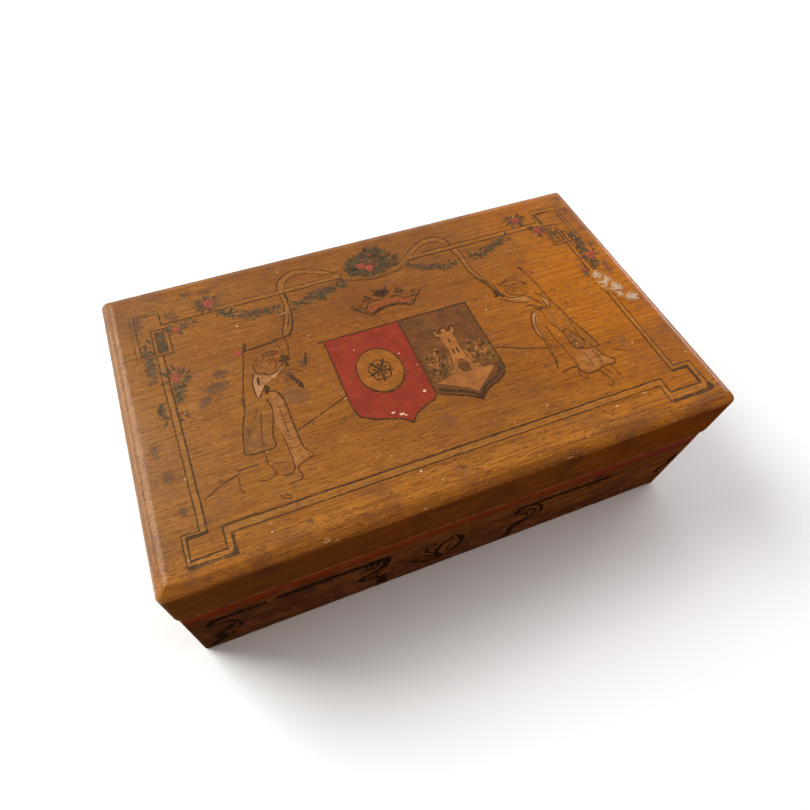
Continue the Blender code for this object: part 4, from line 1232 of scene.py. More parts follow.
    # The tower's battlements, windows, door and joints
    ink.stroke([(12.8, 3.0), (14.3, 3.0), (14.7, 1.2), (15.9, 1.2), (16.4, 3.0), (18.6, 3.0), (18.9, 1.2),
                (20.2, 1.2), (20.6, 3.0), (22.2, 3.0)], 0.6, smooth=False)
    ink.stroke([(12.9, 2.8), (13.2, 0.0), (14.9, -1.2)], 0.3, smooth=False)
    ink.stroke([(21.9, 2.8), (21.7, 0.0), (20.2, -1.2)], 0.3, smooth=False)
    for x, y, length in ((17.5, -2.4, 2.6), (16.8, -7.4, 3.2), (18.6, -7.4, 3.2)):
        ink.stroke([(x, y), (x, y - length)], 0.5, taper=0.15)
    ink.stroke([(15.9, -18.6), (16.0, -15.6), (17.7, -13.4), (19.4, -15.6), (19.5, -18.6)], 0.32)
    for x, y in ((15.6, -13.0), (19.6, -13.4), (14.4, -17.2), (21.0, -17.0)):
        ink.stroke([(x, y), (x + 0.9, y - 0.1)], 0.25)
    for side in (-1, 1):
        for x, y, turn in ((4.4, -11.5, 50), (7.6, -15.5, 95), (10.6, -16.5, 60), (12.6, -10.5, 110),
                           (5.8, -8.0, 30)):
            angle = turn if side > 0 else 180 - turn
            ink.leaf(17.6 + side * x, y, angle, 3.0, 1.2)
        for _ in range(16):
            away = ink.random.uniform(4.0, 13.0)
            y = ink.random.uniform(-20.0, -8.5 - abs(away - 9.5) * 0.7)
            ink.leaf(17.6 + side * away, y, ink.random.uniform(15, 165), ink.random.uniform(1.2, 2.4), 0.55)
    ink.place("art_shield_ink", INK, "lid")

    chips = Drawing(on_lid, HIGH + 0.02, 56)
    for x, y, radius in ((-16.3, -27.6, 0.75), (-13.5, -29.0, 0.9), (-1.6, -22.5, 0.8), (-19.8, 4.6, 0.35),
                         (-3.7, -2.9, 0.4), (-12.4, -30.0, 0.5), (-27.5, 8.3, 0.3), (0.7, -10.5, 0.3)):
        chips.blob(x, y, radius, radius * 0.55, 0.3)
    chips.place("art_chips", paint("chip", (0.66, 0.42, 0.30), None, 0.25, 0.9), "lid")


def draw_left_figure():
    """A figure in a broad hat and long gown, seen from behind, at the ribbon's left end."""
    brown = Drawing(on_lid, MIDDLE, 62)
    pen = brown.stroke
    pen(oval(-51.2, 14.2, 3.3, 1.1, count=14), 0.44, closed=True)
    pen(oval(-51.0, 14.3, 2.0, 0.5, count=10), 0.29, closed=True)
    pen([(-57.4, 12.9), (-55.4, 14.6), (-53.4, 14.0)], 0.44)
    pen([(-57.6, 12.9), (-55.6, 12.4), (-53.8, 12.8)], 0.39)
    pen([(-58.5, 11.6), (-58.8, 8.4), (-57.5, 6.2), (-54.8, 5.6)], 0.39)
    pen([(-50.8, 12.0), (-50.2, 9.2), (-51.0, 6.6)], 0.42)
    pen([(-57.0, 11.4), (-57.6, 9.6), (-57.0, 7.8)], 0.29)
    pen([(-55.4, 11.9), (-56.2, 10.2), (-55.6, 8.6)], 0.26)
    pen([(-53.8, 12.0), (-52.6, 10.8), (-52.6, 8.8)], 0.29)
    pen([(-52.4, 12.2), (-51.5, 11.0), (-51.6, 9.6)], 0.26)
    pen([(-56.2, 5.7), (-54.4, 4.6), (-51.6, 5.0), (-48.6, 7.4), (-46.6, 8.6)], 0.42)
    pen([(-51.4, 2.8), (-48.8, 4.4), (-46.2, 6.6)], 0.34)
    pen([(-46.2, 4.6), (-43.6, 3.4), (-41.2, 1.2)], 0.34)
    for step in range(7):
        x, y = -62.6 - 1.05 * step, -8.0 - 1.5 * step
        pen([(x, y), (x - 0.9, y - 4.2 - 0.3 * step)], 0.22, taper=0.4)
    for step in range(6):
        y = -10.4 - 3.6 * step
        pen([(-56.2 - 0.1 * step, y), (-54.4, y - 0.5), (-52.6, y - 0.2)], 0.20, taper=0.4)
    pen([(-55.3, -8.0), (-54.6, -16.0), (-54.9, -24.0)], 0.29, taper=0.2)
    pen([(-57.0, -22.0), (-56.6, -28.8), (-56.4, -34.2), (-56.8, -37.0), (-58.8, -38.2), (-61.8, -38.0)],
        0.39)
    pen([(-64.4, -32.6), (-63.4, -35.4), (-63.2, -37.0)], 0.44)
    pen([(-63.0, -32.4), (-60.6, -33.0), (-58.0, -33.4)], 0.26)
    pen([(-49.0, -33.8), (-52.4, -35.2), (-55.6, -36.6), (-55.0, -40.6), (-57.4, -41.6), (-60.4, -41.8)],
        0.39)
    pen([(-75.8, -31.2), (-71.0, -30.9), (-67.8, -31.2)], 0.31)
    pen([(-69.6, -37.2), (-66.6, -37.7), (-63.6, -36.8)], 0.29)
    pen([(-75.8, -33.4), (-76.2, -37.8), (-75.2, -39.6)], 0.36)
    pen([(-64.4, -44.4), (-63.2, -46.2), (-61.3, -46.9), (-61.0, -45.8), (-62.8, -44.9)], 0.36)
    brown.place("art_left_brown", SEPIA, "lid")
    ink = Drawing(on_lid, MIDDLE, 61)
    pen = ink.stroke
    pen([(-59.8, 6.6), (-61.2, 2.8), (-61.4, -2.4), (-60.6, -4.6), (-58.4, -1.6), (-57.0, 0.6)], 0.34)
    ink.leaf(-58.6, 5.2, -98, 4.4, 1.2)
    ink.fill([(-57.4, 0.6), (-55.8, -0.6), (-56.2, -2.8), (-57.8, -3.6), (-57.6, -1.4)], True, 0.3)
    pen([(-56.0, -2.8), (-53.6, -3.8), (-52.3, -6.8), (-52.0, -12.0), (-51.9, -20.0), (-51.6, -28.6),
         (-50.2, -31.9), (-48.6, -33.2)], 0.42)
    pen([(-54.0, -3.6), (-52.4, -6.4)], 0.62, taper=0.3)
    pen([(-58.0, -6.0), (-57.4, -10.6), (-58.4, -15.6), (-60.2, -21.6), (-60.6, -26.0), (-66.6, -26.7),
         (-71.4, -26.0)], 0.38)
    pen([(-61.8, -10.6), (-63.2, -17.0), (-64.4, -22.4), (-64.2, -24.8)], 0.26)
    pen([(-64.6, -28.8), (-65.2, -32.4)], 0.30)
    # Staff with a leaf at its head
    pen([(-61.2, 16.8), (-63.4, 8.0), (-65.5, 0.1), (-66.8, -7.0), (-70.0, -16.8), (-71.5, -25.8)], 0.40)
    pen([(-66.0, -1.6), (-66.9, -6.0)], 0.95, taper=0.3)
    ink.leaf(-61.2, 17.4, 66, 6.2, 1.3)
    # Flower at the ribbon's end, and stray leaves in the air
    pen([(-47.4, 17.8), (-46.4, 13.8), (-46.9, 9.4)], 0.26)
    for angle, length in ((105, 3.6), (60, 3.2), (160, 3.0), (-80, 3.6), (20, 2.4)):
        ink.leaf(-46.6, 9.0, angle, length, 1.5)
    ink.leaf(-39.8, 4.0, 74, 6.8, 1.3)
    ink.leaf(-47.4, 2.6, -62, 5.0, 1.8)
    ink.leaf(-45.6, -0.4, -70, 6.0, 2.4)
    ink.place("art_left_figure", INK, "lid")


def draw_right_figure():
    """The other figure, in a wide gown with a shoulder bag, also with a staff."""
    brown = Drawing(on_lid, MIDDLE, 72)
    pen = brown.stroke
    pen([(50.0, 16.6), (54.4, 17.4), (58.2, 17.2), (60.8, 15.6), (62.6, 12.8)], 0.42)
    pen([(51.2, 16.0), (55.4, 14.9), (60.0, 14.8), (61.6, 13.0)], 0.39)
    pen([(52.6, 17.6), (56.6, 18.8), (60.0, 17.8)], 0.44)
    pen([(53.0, 15.8), (51.8, 11.8), (53.8, 9.6), (57.4, 8.4), (60.8, 8.8)], 0.39)
    for step in range(5):
        x = 54.0 + 1.5 * step
        pen([(x, 14.6 - 0.3 * step), (x - 0.4, 12.6 - 0.5 * step), (x + 0.5, 10.9 - 0.4 * step)], 0.31)
        pen([(x + 0.6, 14.2 - 0.4 * step), (x + 1.8, 12.6 - 0.6 * step)], 0.23, taper=0.3)
    pen([(47.6, 9.2), (50.6, 7.1), (52.6, 5.2), (56.0, 4.3), (57.2, 2.2), (60.0, 0.5), (63.6, -1.8)], 0.44)
    pen([(59.4, -1.6), (60.4, -3.4), (60.1, -6.4)], 0.31)
    for step in range(5):
        y = -9.0 - 4.0 * step
        pen([(54.6, y), (56.4, y - 0.5), (58.0, y - 0.1)], 0.20, taper=0.4)
        pen([(69.2 + 0.3 * step, y - 1.0), (69.9 + 0.3 * step, y - 4.0)], 0.22, taper=0.3)
    pen([(56.6, -4.2), (54.5, -7.6), (54.0, -13.2), (54.4, -20.4)], 0.31)
    pen([(57.8, -10.0), (57.9, -16.2), (58.6, -21.6), (58.8, -25.4), (59.4, -30.4), (59.0, -32.4)], 0.42)
    pen([(65.0, -27.4), (65.4, -31.0), (64.8, -34.6)], 0.29)
    pen([(68.6, -27.6), (69.4, -31.4), (69.0, -34.6)], 0.29)
    pen([(58.8, -33.2), (57.6, -35.8), (59.2, -38.2), (60.2, -37.2)], 0.42)
    pen([(66.0, -37.0), (67.4, -40.6), (68.0, -43.4), (66.4, -44.6), (65.2, -43.8)], 0.49)
    pen([(68.2, -36.2), (69.8, -39.6)], 0.34)
    pen([(71.6, -36.4), (72.3, -39.7), (72.5, -41.2), (71.0, -40.4)], 0.36)
    pen([(63.6, -21.4), (65.4, -20.6), (66.0, -22.2)], 0.34)
    brown.place("art_right_brown", SEPIA, "lid")
    ink = Drawing(on_lid, MIDDLE, 71)
    pen = ink.stroke
    pen([(45.4, 22.4), (46.8, 18.8), (47.8, 14.2), (49.8, 11.0), (51.8, 8.5), (55.4, 7.8), (58.6, 7.8)],
        0.32)
    pen([(58.4, 7.9), (59.9, 5.4), (61.4, 3.1), (62.7, 0.4)], 0.62, taper=0.2)
    pen([(62.2, 7.7), (64.8, 5.6), (65.5, 2.6)], 0.34)
    pen([(64.2, 4.4), (63.8, 1.2), (64.7, -1.8), (66.0, 0.4), (65.8, 3.4)], 0.32)
    pen([(58.0, 0.4), (59.8, -1.2), (62.2, -0.8), (64.2, -1.8)], 0.72, taper=0.2)
    pen([(57.2, -1.2), (54.0, -5.0), (52.2, -11.4), (53.2, -16.4), (53.0, -22.8), (52.5, -27.0),
         (51.2, -30.6)], 0.40)
    pen([(60.6, -9.6), (62.2, -13.6), (62.9, -17.4), (62.5, -21.2), (64.0, -24.8), (67.8, -23.9)], 0.32)
    pen([(62.8, -15.0), (65.2, -14.2), (67.4, -19.0), (68.1, -23.4)], 0.30)
    pen([(66.9, 2.0), (68.4, -4.4), (69.2, -10.8), (71.1, -16.6), (72.2, -22.4), (72.8, -26.1)], 0.42)
    pen([(68.4, -11.4), (68.3, -17.2), (68.8, -22.8), (70.4, -25.8)], 0.30)
    pen([(64.4, -24.8), (68.0, -25.8), (72.8, -26.1)], 0.38)
    pen([(70.8, -27.0), (72.0, -31.2), (74.8, -34.2), (72.8, -35.8), (68.2, -35.6), (65.2, -36.8),
         (61.8, -36.7), (59.3, -35.0), (58.7, -32.3), (55.6, -32.1), (52.4, -32.9)], 0.36)
    # Staff
    pen([(63.9, 23.0), (65.1, 18.8), (66.0, 13.2), (66.6, 6.8), (67.2, 1.7)], 0.40)
    pen([(63.6, 24.0), (64.6, 20.8)], 0.95, taper=0.3)
    # Hand that holds the ribbon
    for angle, length in ((-60, 3.4), (-140, 3.0), (80, 3.0), (150, 2.4)):
        ink.leaf(48.0, 12.4, angle, length, 1.5)
    ink.place("art_right_figure", INK, "lid")


def draw_figure_colours():
    """The painted parts of both figures and the ground behind them."""
    sleeves = Drawing(on_lid, LOW, 81)
    sleeves.fill([(-59.8, 6.2), (-58.0, 5.6), (-55.6, 4.8), (-53.4, 2.6), (-56.6, 0.6), (-58.4, -1.8),
                  (-60.6, -4.2), (-61.0, 1.4)], rough=0.3)
    sleeves.fill([(-54.6, 4.4), (-51.6, 4.6), (-48.8, 7.0), (-50.4, 4.4), (-52.8, 2.4)], rough=0.3)
    sleeves.fill([(50.4, 8.6), (53.4, 7.8), (58.0, 7.2), (59.6, 4.4), (56.4, 4.8), (53.0, 5.6)], rough=0.3)
    sleeves.fill([(64.0, 4.2), (64.2, 0.4), (64.8, -1.2), (65.8, 1.0), (65.6, 3.2)], rough=0.2)
    sleeves.fill([(56.6, -2.2), (54.2, -5.6), (52.8, -11.4), (53.4, -14.6), (54.4, -8.6), (57.0, -4.4)],
                 rough=0.3)
    sleeves.place("art_sleeves", PALE, "lid")

    hair = Drawing(on_lid, LOW, 82)
    hair.fill(oval(-54.2, 9.4, 3.9, 3.4, count=10), True, 0.5)
    hair.fill(oval(-53.4, 13.8, 4.2, 1.5, count=10), True, 0.3)
    hair.fill(oval(56.6, 12.2, 4.0, 3.4, count=10), True, 0.5)
    hair.fill(oval(56.6, 16.6, 5.4, 1.6, count=10), True, 0.3)
    hair.fill([(66.4, 18.8), (68.2, 17.2), (68.6, 15.8), (67.0, 16.4)], True, 0.3)
    hair.place("art_hair", paint("hair", (0.27, 0.070, 0.020), (0.32, 0.11, 0.03), 0.52, 0.40), "lid")

    wash = Drawing(on_lid, LOW, 83)
    wash.fill([(-60.6, -5.4), (-65.6, -4.4), (-67.0, -9), (-70.0, -17), (-71.4, -25.6), (-66.4, -26.2),
               (-61.0, -25.6), (-60.4, -21.8), (-58.4, -15.4), (-57.8, -10), (-58.6, -6.0)], True, 0.3)
    wash.fill([(62.9, -1.6), (65.6, -1.8), (68.0, -4.6), (69.0, -10.8), (72.4, -25.4), (68.6, -25.2),
               (68.2, -15.4), (64.6, -13.8), (61.2, -9.6)], True, 0.3)
    wash.place("art_apron_wash",
               paint("apron_wash", (0.105, 0.056, 0.018), (0.190, 0.090, 0.024), 0.49, 0.34, 330), "lid")
    dark = Drawing(on_lid, LOW * 1.5, 86)
    dark.fill([(-68.6, -15.4), (-65.4, -17.0), (-62.7, -17.6), (-63.6, -22), (-64.4, -25.4),
               (-71.2, -25.6)], True, 0.5)
    dark.fill([(62.9, -15.6), (65.6, -14.8), (67.2, -19.2), (67.8, -23.4), (64.2, -24.4), (62.8, -21.2)],
              True, 0.2)
    dark.place("art_cloak_shade",
               paint("cloak_shade", (0.070, 0.034, 0.022), (0.120, 0.055, 0.030), 0.47, 0.52, 520), "lid")

    gown = Drawing(on_lid, LOW, 84)
    gown.fill([(-56.0, -3.6), (-53.8, -4.6), (-52.8, -7.4), (-52.6, -14), (-52.5, -22), (-52.0, -29),
               (-50.6, -32.6), (-56.2, -35.4), (-57.0, -24), (-57.8, -16), (-57.0, -9)], True, 0.3)
    gown.fill([(60.2, -33.6), (63.0, -35.8), (69.0, -34.6), (73.4, -34.6), (71.2, -30.6), (69.4, -27.0),
               (62.2, -26.4)], True, 0.3)
    gown.place("art_gown_wash",
               paint("gown_wash", (0.42, 0.195, 0.075), (0.33, 0.135, 0.045), 0.45, 0.36, 330), "lid")

    ground = Drawing(on_lid, LOW, 85)
    ground.stroke([(-51.3, -22.7), (-40, -18.4), (-30.0, -14.6)], 0.40)
    ground.stroke([(-88.7, -37.6), (-81.9, -34.4), (-75.1, -32.1)], 0.34)
    ground.stroke([(33.0, -12.8), (42.8, -16.9), (52.5, -20.3)], 0.42)
    ground.stroke([(75.5, -29.0), (84.5, -33.6)], 0.28, taper=0.3)
    ground.place("art_ground", INK, "lid")


def draw_stains():
    """Dirt, bruises and lost paint on the lid."""
    violet = [(-76, 55.5, 6, 3.4, -15), (-68, 54.5, 5, 3.0, -30), (-75, 5.5, 8, 6.5, 20),
              (-79.5, 0.5, 4, 3.6, 0), (-72, 11.5, 6, 4, -20), (-46.5, 2.0, 4.2, 6.5, 15),
              (-40.5, 5.5, 2.2, 3.0, 0), (47.5, -27.5, 1.6, 1.6, 0), (63.0, -30.5, 3.4, 2.4, 0),
              (66.0, -33.5, 3.0, 2.0, 0), (55.5, -35.5, 2.2, 2.2, 0), (77.0, -26.0, 1.8, 1.8, 0),
              (-57.5, -56.5, 2.4, 2.0, -40), (-81.5, -33.0, 2.2, 1.8, 0), (-97.5, -25.5, 3.6, 3.6, 0),
              (-100.5, -14.5, 3.0, 4.6, 0), (-95.5, -39.5, 3.6, 3.0, 0), (62.5, -46.8, 2.0, 1.8, 0),
              (72.5, -1.5, 1.6, 1.2, 0), (100.5, 25.0, 4.2, 6.0, 0), (100.5, 12.0, 4.0, 7.0, 0),
              (93.5, 52.5, 7.5, 2.6, -4), (103.0, 49.5, 3.0, 3.0, 0), (-83, 46, 5.0, 6.0, 10),
              (-97, 44, 5.0, 8.0, 0)]
    soft_spots("art_bruises", LOW * 0.5, violet,
               soft_paint("bruise", (0.062, 0.036, 0.028), 0.60, 300, 0.40, 0.90, 3.4))
    dull = [(3.5, 48.5, 14, 10, 0), (-23, 38.4, 16, 4.8, 10), (28, 37, 12, 3.4, -10), (58, 39, 12, 3.2, 15),
            (-50, 37, 12, 3.2, -5), (-69, 48.6, 9, 5.2, 0), (-81.5, 39.8, 8, 4.4, 10),
            (77.5, 50.6, 8, 4.6, 0), (84.5, 41.2, 5, 4.4, 0), (97.0, 24, 4, 17, 0), (-96, 24, 4, 14, 0),
            (-87.8, 9.5, 4, 8.5, 0), (-95, 2, 2.8, 6, 0), (90, 10.5, 3.2, 5.4, 0)]
    soft_spots("art_leaf_ground", LOW * 0.75, dull,
               soft_paint("leaf_ground", (0.060, 0.040, 0.026), 0.72, 700, 0.35, 0.95))
    lost = [(95.2, 3.4, 4.4, 7.6, 5), (97.8, -1.2, 3.6, 4.4, 0), (93.6, 7.4, 3.0, 3.8, 0),
            (100.6, -8.2, 4.4, 3.4, -20), (97.2, -5.0, 2.4, 2.2, 0)]
    soft_spots("art_lost_paint", HIGH * 1.1, lost,
               soft_paint("lost_paint", (0.42, 0.35, 0.25), 0.82, 1150, 0.52, 0.72, 4.6))

    scratches = Drawing(on_lid, LOW * 0.5, 91)
    for _ in range(46):
        x, y = scratches.random.uniform(-98, 98), scratches.random.uniform(-56, 56)
        angle = math.radians(scratches.random.choice((15, 30, 150, -20))
                             + scratches.random.uniform(-12, 12))
        length = scratches.random.uniform(1.0, 5.0)
        tip = (x + length * math.cos(angle), y + length * math.sin(angle))
        scratches.stroke([(x, y), ((x + tip[0]) / 2, (y + tip[1]) / 2 + 0.2), tip], 0.16, taper=0.4)
    scratches.place("art_scratches", paint("scratch", (0.55, 0.27, 0.10), None, 0.30, 0.7), "lid")
    nicks = Drawing(on_lid, LOW * 0.5, 92)
    for _ in range(60):
        x, y = nicks.random.uniform(-106, 106), nicks.random.uniform(-61, 61)
        size = nicks.random.uniform(0.18, 0.42)
        nicks.blob(x, y, size * nicks.random.uniform(0.8, 1.8), size, 0.12)
    nicks.place("art_nicks", paint("nick", (0.060, 0.024, 0.012), (0.12, 0.05, 0.02), 0.34, 0.8), "lid")
    specks = Drawing(on_lid, LOW * 0.6, 93)
    for _ in range(16):
        x, y = specks.random.uniform(-104, 104), specks.random.uniform(-60, 60)
        specks.blob(x, y, specks.random.uniform(0.15, 0.34), None, 0.08)
    specks.place("art_specks", paint("speck", (0.75, 0.55, 0.36), None, 0.22, 0.9), "lid")


# ---------------------------------------------------------------- artwork on the front


def draw_front():
    """Ink panels with scrolled brackets round a worn spray of leaves on the base's front."""
    ink = Drawing(on_front, MIDDLE, 101)
    faint = Drawing(on_front, LOW, 102)
    line = ink.stroke
    # Rules under the red band and along the foot
    line([(-101, -40.4), (-90, -41.0), (-79.6, -41.0)], 2.4, wobble=0.4)
    line([(-75.5, -40.6), (-52, -41.0), (-33, -41.0)], 2.7, wobble=0.4)
    line([(30, -40.8), (50, -41.2), (71.6, -42.4)], 2.2, wobble=0.5, taper=0.06)
    faint.stroke([(74, -41.8), (85, -41.0), (98, -41.2)], 1.4, wobble=0.5, taper=0.1)
    faint.stroke([(27, -73.2), (60, -72.4), (101, -72.8)], 1.5, wobble=0.6)
    faint.stroke([(-99, -73.4), (-60, -73.0), (-33, -73.2)], 1.2, wobble=0.6)
    # Bracket at the left end
    line([(-101.6, -41.0), (-101.2, -46.5)], 3.0, taper=0.2)
    line([(-99.4, -47.4), (-95.4, -46.4), (-92.2, -50.2), (-91.2, -56.8), (-94.2, -60.2)], 1.3, taper=0.15)
    line([(-93.4, -51.4), (-96.2, -55.4), (-100.4, -59.6), (-100.0, -66.6), (-103.2, -69.2),
          (-106.2, -70.8)], 3.1, taper=0.12)
    line([(-98.8, -63.0), (-96.0, -62.2), (-95.6, -65.6), (-98.4, -67.0)], 0.9)
    # Bracket left of the middle: a dark block, a fan of curls, and a foot
    line([(-31.6, -39.8), (-31.6, -48.6), (-34.9, -53.0)], 2.9)
    for x, width in ((-34.8, 1.5), (-37.4, 1.1), (-39.8, 0.8)):
        line([(x, -41.6), (x - 0.5, -46.4), (x - 3.0, -50.4)], width, taper=0.15)
    line([(-34.9, -52.4), (-38.6, -54.4), (-42.2, -57.6), (-39.6, -61.0), (-35.4, -60.2)], 1.7)
    line([(-34.4, -54.6), (-37.2, -56.4), (-38.4, -59.4)], 1.1)
    line([(-33.2, -56.4), (-35.0, -58.6), (-35.9, -62.0)], 1.3)
    line([(-35.8, -61.6), (-31.4, -62.2)], 1.4)
    line([(-32.7, -61.6), (-32.4, -66), (-32.3, -75.4)], 3.5, smooth=False)
    # Bracket right of the middle
    line([(26.7, -47.8), (27.0, -42.2), (30.8, -40.6)], 2.5, taper=0.1)
    line([(30.0, -41.8), (36.0, -43.6), (39.8, -50.4), (38.8, -57.0), (34.4, -56.2)], 1.1)
    line([(30.2, -45.2), (34.6, -46.8), (36.8, -51.4), (35.2, -55.0)], 0.95)
    line([(29.6, -49.0), (32.6, -50.6), (33.2, -54.2)], 0.9)
    line([(34.6, -55.0), (32.4, -58.6), (28.4, -60.6), (27.6, -68.8), (26.2, -73.8)], 2.7, taper=0.1)
    line([(33.2, -58.2), (31.6, -64.2)], 0.8, taper=0.3)
    # Bracket at the right end
    line([(105.2, -43.4), (104.8, -51.8), (102.2, -55.0), (101.6, -58.4), (104.4, -60.6)], 1.9, taper=0.12)
    faint.stroke([(106.4, -62), (104.6, -68), (105.6, -74)], 1.4, taper=0.2)
    # A spray of leaves in the middle, its right half rubbed away
    line([(-3.4, -66.4), (-8.2, -59.4), (-7.4, -51.0), (-1.4, -43.4)], 1.7, taper=0.12)
    line([(-1.6, -43.6), (2.4, -50.6), (1.2, -58.6), (-3.2, -66.2)], 1.6, taper=0.15)
    line([(-3.2, -63.4), (-3.4, -57.2), (-2.2, -49.4)], 0.8, taper=0.3)
    line([(-4.0, -66.2), (-10.6, -65.6), (-16.2, -61.6), (-20.6, -57.2)], 1.7, taper=0.12)
    line([(-20.4, -57.4), (-14.4, -57.0), (-9.6, -60.6), (-5.4, -65.6)], 1.2, taper=0.2)
    line([(-16.4, -59.4), (-11.8, -61.4), (-8.0, -64.0)], 0.7, taper=0.3)
    line([(-9.8, -56.6), (-13.2, -53.0), (-13.6, -48.4), (-10.2, -46.6), (-9.2, -49.6)], 1.2, taper=0.2)
    faint.stroke([(-2.6, -66.4), (4.0, -65.8), (10.2, -62.0), (16.6, -59.6)], 1.5, taper=0.2)
    faint.stroke([(16.2, -59.8), (10.4, -57.4), (4.8, -60.0), (-0.6, -65.4)], 1.2, taper=0.3)
    faint.stroke([(4.4, -56.8), (8.4, -53.6), (9.6, -48.8), (6.8, -46.6), (5.2, -49.2)], 1.2, taper=0.3)
    for side, start in ((-1, -9.0), (1, 1.6)):
        for step in range(4):
            x = start + side * step * 1.7
            faint.stroke([(x, -68.6 - step * 0.3), (x + side * 2.2, -70.0 - step * 0.3)], 0.6, taper=0.3)
    ink.place("art_front", paint("front_ink", (0.004, 0.003, 0.003), (0.010, 0.006, 0.004), 0.27, 0.94),
              "box_base")
    faint.place("art_front_faint",
                paint("front_faint", (0.020, 0.010, 0.008), (0.05, 0.02, 0.012), 0.46, 0.70), "box_base")

    grey = Drawing(on_front, LOW, 103)
    for step in range(5):
        x = -33.4 - step * 1.9
        grey.stroke([(x, -42.2), (x - 0.6, -46.0), (x - 2.8, -49.0)], 0.8, taper=0.2)
    grey.place("art_front_grey", paint("front_grey", (0.085, 0.060, 0.040), None, 0.44, 0.7), "box_base")

    chips = Drawing(on_front, HIGH, 104)
    for x, z, across, tall in ((-70.1, -61.2, 1.3, 1.2), (-54.7, -63.2, 1.1, 2.2), (-54.8, -70.0, 1.0, 1.8),
                               (-45.9, -66.8, 1.2, 0.8), (-29.6, -59.4, 0.9, 1.6), (-25.6, -62.6, 0.9, 1.8),
                               (-32.8, -73.6, 1.0, 1.8), (-65.2, -52.6, 1.4, 0.9), (-77.0, -61.2, 2.0, 0.9),
                               (-88.8, -59.2, 0.9, 1.0), (2.6, -70.4, 1.5, 1.2), (25.0, -61.4, 1.2, 1.6),
                               (39.0, -71.8, 2.4, 0.8), (43.8, -37.6, 1.4, 2.2), (83.8, -51.0, 0.9, 1.6),
                               (86.6, -65.6, 0.8, 1.5), (64.6, -70.2, 2.2, 0.8), (97.6, -44.6, 1.8, 0.8),
                               (98.8, -53.8, 0.7, 2.4)):
        chips.blob(x, z, across * 0.8, tall * 0.8, 0.5)
    chips.place("art_front_chips",
                paint("front_chip", (0.33, 0.155, 0.095), (0.20, 0.08, 0.045), 0.47, 0.72, 900), "box_base")

    edge = Drawing(on_lid_edge, HIGH * 1.2, 105)
    for x, along, across, tall in ((-54.6, 5.0, 1.2, 0.9), (-51.4, 5.9, 0.6, 0.4), (-20, 6.0, 0.9, 0.3),
                                   (36, 5.9, 1.1, 0.3), (81, 6.1, 0.8, 0.4)):
        edge.blob(x, along, across, tall, 0.3)
    edge.place("art_edge_chips",
               paint("edge_chip", (0.60, 0.36, 0.20), (0.46, 0.22, 0.09), 0.40, 0.85, 900), "lid")


def draw_artwork():
    draw_washes()
    draw_border()
    draw_ribbon()
    draw_flowers()
    draw_crown()
    draw_shields()
    draw_left_figure()
    draw_right_figure()
    draw_figure_colours()
    draw_stains()
    draw_front()


# ---------------------------------------------------------------- materials inside the box


def raw_wood(name, along, pale=(0.50, 0.30, 0.14), dark=(0.26, 0.13, 0.055), dirt=0.45):
    """Unvarnished old board, its grain along one axis (0, 1 or 2), with pores, stains and dirt from
    handling.
    """
    make = Material(name)
    place = make.place()
    broad_scale = tuple(22 if axis == along else 210 for axis in range(3))
    pore_scale = tuple(170 if axis == along else 2600 for axis in range(3))
    broad = make.noise(make.stretch(place, broad_scale), 1.0, 4, 0.6, 0.4)
    pores = make.noise(make.stretch(place, pore_scale), 1.0, 2, 0.55)
    stain = make.noise(place, 38, 5, 0.65, 0.6)
    colour = make.mix(make.step(broad, 0.30, 0.70), pale, dark)
    colour = make.lay(colour, (0.12, 0.055, 0.022), make.step(pores, 0.54, 0.70), 0.55)
    colour = make.lay(colour, (0.10, 0.055, 0.030), make.step(stain, 0.50, 0.74), dirt)
    rough = make.line(broad, 0.25, 0.50)
    relief = make.line(pores, -0.7, make.times(broad, 0.5))
    return make.surface(colour, rough, relief, 0.00012, {"Specular IOR Level": 0.3})


def lining_paper():
    """Old marbled paper, foxed and rubbed."""
    make = Material("marbled_paper")
    place = make.place()
    swirl = make.noise(make.stretch(place, (1.0, 1.6, 1.0)), 95, 4, 0.55, 3.2)
    veins = make.size(make.math("SINE", make.times(swirl, 34.0)))
    colour = make.mix(make.step(veins, 0.15, 0.55), (0.46, 0.20, 0.12), (0.60, 0.46, 0.29))
    blots = make.noise(place, 160, 3, 0.6, 1.5)
    colour = make.mix(make.step(blots, 0.60, 0.66), colour, (0.13, 0.16, 0.17))
    foxing = make.step(make.noise(place, 420, 3, 0.6), 0.66, 0.74)
    colour = make.lay(colour, (0.22, 0.12, 0.06), foxing, 0.5)
    fibres = make.noise(place, 900, 3, 0.6)
    return make.surface(colour, 0.7, fibres, 0.00006, {"Specular IOR Level": 0.25})


def aged_metal(name, bright, tarnish, rough=0.28, spread=0.5):
    """Metal worn bright on some patches and dull in others, with fine scratches."""
    make = Material(name)
    place = make.place()
    patch = make.noise(place, 420, 5, 0.68, 0.5)
    scratch = make.noise(make.stretch(place, (300, 4200, 3800), (2, 0, 1)), 1.0, 2, 0.5)
    specks = make.step(make.noise(place, 2400, 2, 0.6), 0.66, 0.74)
    dull = make.step(patch, 0.62 - spread * 0.3, 0.62)
    colour = make.lay(make.mix(dull, bright, tarnish), (0.05, 0.035, 0.022), specks, 0.6)
    roughness = make.line(scratch, 0.14, make.line(dull, 0.26, rough))
    relief = make.plus(make.times(scratch, 0.5), make.times(patch, 0.8))
    return make.surface(colour, roughness, relief, 0.00005, {"Metallic": 1.0})


DOT_PITCH = 5.2  # between printed dots, in millimetres


